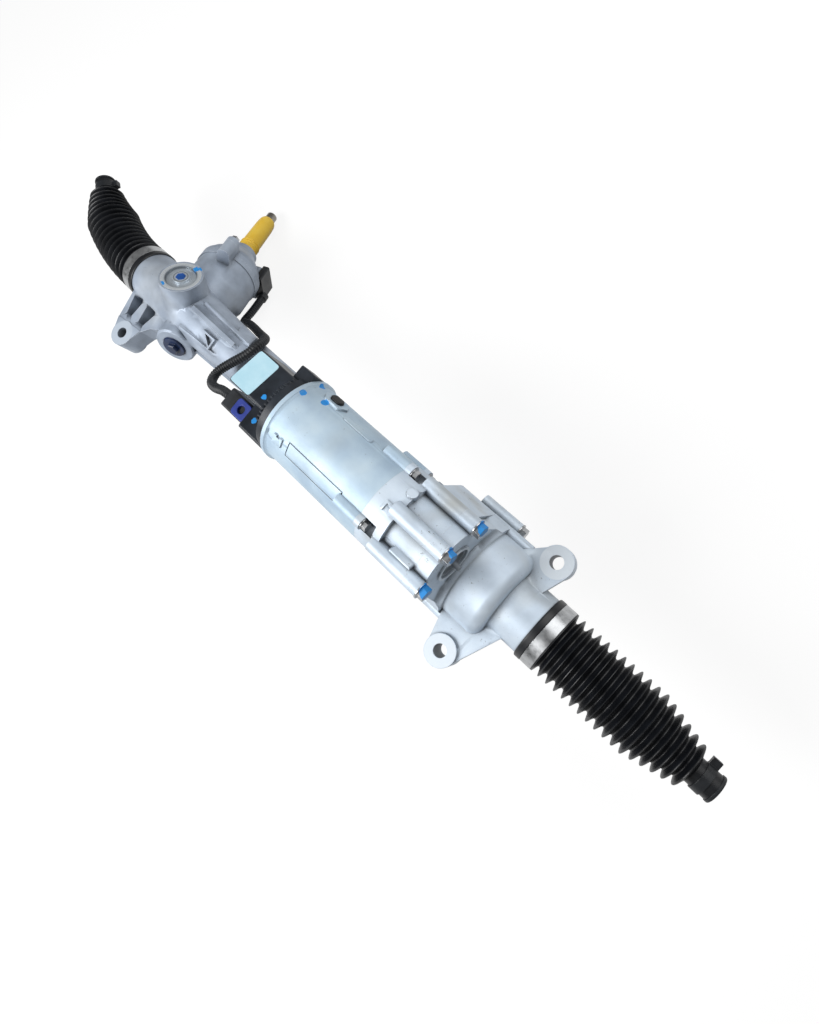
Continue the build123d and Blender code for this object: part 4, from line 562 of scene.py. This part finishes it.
# Sensor harness: wires in a corrugated nylon tube from the sensor's plug to the control unit. It leaves the
# plug straight, runs beside the rack tube and humps over it to the control unit's plug.
harness_route = [(0.03618, 0.13666, -0.08149), (0.04617, 0.11968, -0.07169), (0.05037, 0.09765, -0.06474),
                 (0.072, 0.104, -0.048), (0.100, 0.1055, -0.028), (0.126, 0.1055, -0.010),
                 (0.149, 0.1065, 0.008), (0.169, 0.1075, 0.030), (0.180, 0.099, 0.047),
                 (0.179, 0.082, 0.052), (0.170, 0.065, 0.0515), (0.163, 0.048, 0.0515),
                 (0.170, 0.036, 0.057), (0.188, 0.0375, 0.066), (0.205, 0.044, 0.077),
                 (0.220, 0.044, 0.077)]
harness_radius, corrugation_pitch, corrugation_depth = 0.0052, 0.0028, 0.0008
curve = bpy.data.curves.new("harness_route", "CURVE")
curve.dimensions = "3D"
curve.resolution_u = 24
spline = curve.splines.new("NURBS")
spline.points.add(len(harness_route) - 1)
spline.points.foreach_set("co", np.column_stack([harness_route, np.ones(len(harness_route))]).ravel())
spline.order_u = 3
spline.use_endpoint_u = True
route = bpy.data.objects.new("harness_route", curve)
bpy.context.scene.collection.objects.link(route)
bpy.context.view_layer.update()
route_mesh = bpy.data.meshes.new_from_object(route)
route_points = np.empty(len(route_mesh.vertices) * 3)
route_mesh.vertices.foreach_get("co", route_points)
bpy.data.objects.remove(route)
bpy.data.meshes.remove(route_mesh)


def corrugated_rings(line, radius, pitch, depth):
    """A line's points at even steps, and rings there whose radius falls by the depth once each pitch.

    The radius falls as the square of a raised cosine. Each ring's first direction is the tangent crossed
    with a fixed direction that the line never runs along, and its second is square to both.
    """
    rings_per_pitch = 6
    along = np.concatenate([[0], np.cumsum(np.linalg.norm(np.diff(line, axis=0), axis=1))])
    steps = np.linspace(0, along[-1], int(along[-1] / pitch * rings_per_pitch) + 1)
    even = np.stack([np.interp(steps, along, line[:, k]) for k in range(3)], axis=-1)
    tangent = np.gradient(even, axis=0)
    tangent /= np.linalg.norm(tangent, axis=1)[:, None]
    first = np.cross(tangent, np.array([0.55, 0.35, -0.76]))
    first /= np.linalg.norm(first, axis=1)[:, None]
    second = np.cross(tangent, first)
    size = radius - depth * (0.5 - 0.5 * np.cos(2 * np.pi * steps / pitch)) ** 2
    angle = np.linspace(0, 2 * np.pi, 20, endpoint=False)
    ring = np.cos(angle)[None, :, None] * first[:, None] + np.sin(angle)[None, :, None] * second[:, None]
    return even, even[:, None] + size[:, None, None] * ring


path, harness_rings = corrugated_rings(route_points.reshape(-1, 3), harness_radius,
                                       corrugation_pitch, corrugation_depth)
conduit = moulded("black_conduit", "#14171B", "#1D2126", 0.42, 0.56, grain_mm=1.2, edge_mm=0.0)
harness = skin_from_rings("harness_conduit", harness_rings, conduit, "housing")
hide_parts("sensor_harness")

# Studio: a pale floor just under the part, which keeps the part's shadow. The camera sees the floor and
# the world near white, and reflections see the floor so, which lets the lamps stay low.
floor_gap, floor_half = 0.004, 3.0
white_share, white_strength, sky_on_part = 0.75, 1.10, 0.20
floor_z = cad_low[2] - floor_gap
floor_mesh = bpy.data.meshes.new("floor")
floor_mesh.from_pydata([(x * floor_half, y * floor_half, floor_z)
                        for x, y in ((-1, -1), (1, -1), (1, 1), (-1, 1))], [], [(0, 1, 2, 3)])
floor = bpy.data.objects.new("floor", floor_mesh)
bpy.context.scene.collection.objects.link(floor)


def seen_rays(tree, *kinds):
    """One for rays of the given kinds, and nought for the light that falls on the part."""
    rays = add(tree, "LightPath")
    seen = 0.0
    for kind in kinds:
        seen = add(tree, "Math", [seen, rays.outputs[kind]], operation="MAXIMUM").outputs[0]
    return seen


floor_paint, tree, shader = empty_finish("studio_floor", Roughness=0.9)
floor_colours = {"Factor": seen_rays(tree, "Is Camera Ray"), "A": colour("#6F6C69"), "B": colour("#F2F2F2")}
floor_colour = add(tree, "Mix", floor_colours, data_type="RGBA").outputs[2]
tree.links.new(floor_colour, shader.inputs["Base Color"])
white = add(tree, "Emission", {"Color": (1, 1, 1, 1), "Strength": white_strength}).outputs[0]
seen = seen_rays(tree, "Is Camera Ray", "Is Glossy Ray", "Is Transmission Ray")
share = add(tree, "Math", [seen, white_share], operation="MULTIPLY").outputs[0]
mixed = add(tree, "MixShader", [share, shader.outputs[0], white]).outputs[0]
tree.links.new(mixed, tree.nodes["Material Output"].inputs["Surface"])
floor_mesh.materials.append(floor_paint)

world = bpy.data.worlds.new("studio")
bpy.context.scene.world = world
world.use_nodes = True
tree = world.node_tree
seen = seen_rays(tree, "Is Camera Ray", "Is Transmission Ray")
strength = add(tree, "MapRange", [seen, 0.0, 1.0, sky_on_part, 1.0]).outputs[0]
background = tree.nodes["Background"]
background.inputs["Color"].default_value = (1, 1, 1, 1)
tree.links.new(strength, background.inputs["Strength"])

# Lamps: a soft key above the ears' side, towards the left boot, where no flat pad mirrors it into the
# camera, and a broad, weaker fill from the other side.


def lamp(name, place, target, size, watts):
    """A square area lamp at a place, facing a target."""
    data = bpy.data.lights.new(name, "AREA")
    data.shape = "SQUARE"
    data.size = size
    data.energy = watts
    made = bpy.data.objects.new(name, data)
    made.location = place
    made.rotation_euler = (place - target).to_track_quat("Z", "Y").to_euler()
    bpy.context.scene.collection.objects.link(made)


middle = (cad_low + cad_high) / 2
lamp("key", middle + Vector((-0.34, -0.88, 0.92)), middle, size=0.8, watts=17.5)
lamp("fill", middle + Vector((0.15, 0.98, 0.95)), middle, size=1.2, watts=10)

# Camera: the photograph's own view, from 0.6 m above the right boot, with its turn written as the view's
# right, up and back directions, and its lens worked out from the focal length in pixels.
image_height = 1024
focal_pixels = 650.39
camera_place = (0.6230, 0.1426, 0.6133)
view_right = Vector((0.70266, 0.64323, -0.30418))
view_up = Vector((-0.61508, 0.76402, 0.1948))
view_back = Vector((0.3577, 0.05021, 0.93248))
camera_data = bpy.data.cameras.new("camera")
camera_data.sensor_fit = "VERTICAL"
camera_data.sensor_height = 36.0
camera_data.lens = focal_pixels / image_height * camera_data.sensor_height
camera_data.shift_x = -0.0069
camera_data.shift_y = -0.0441
camera_data.clip_start = 0.01
camera = bpy.data.objects.new("camera", camera_data)
bpy.context.scene.collection.objects.link(camera)
turn = Matrix((view_right, view_up, view_back)).transposed().to_4x4()
camera.matrix_world = Matrix.Translation(camera_place) @ turn
bpy.context.scene.camera = camera
bpy.context.scene.view_settings.view_transform = "Standard"
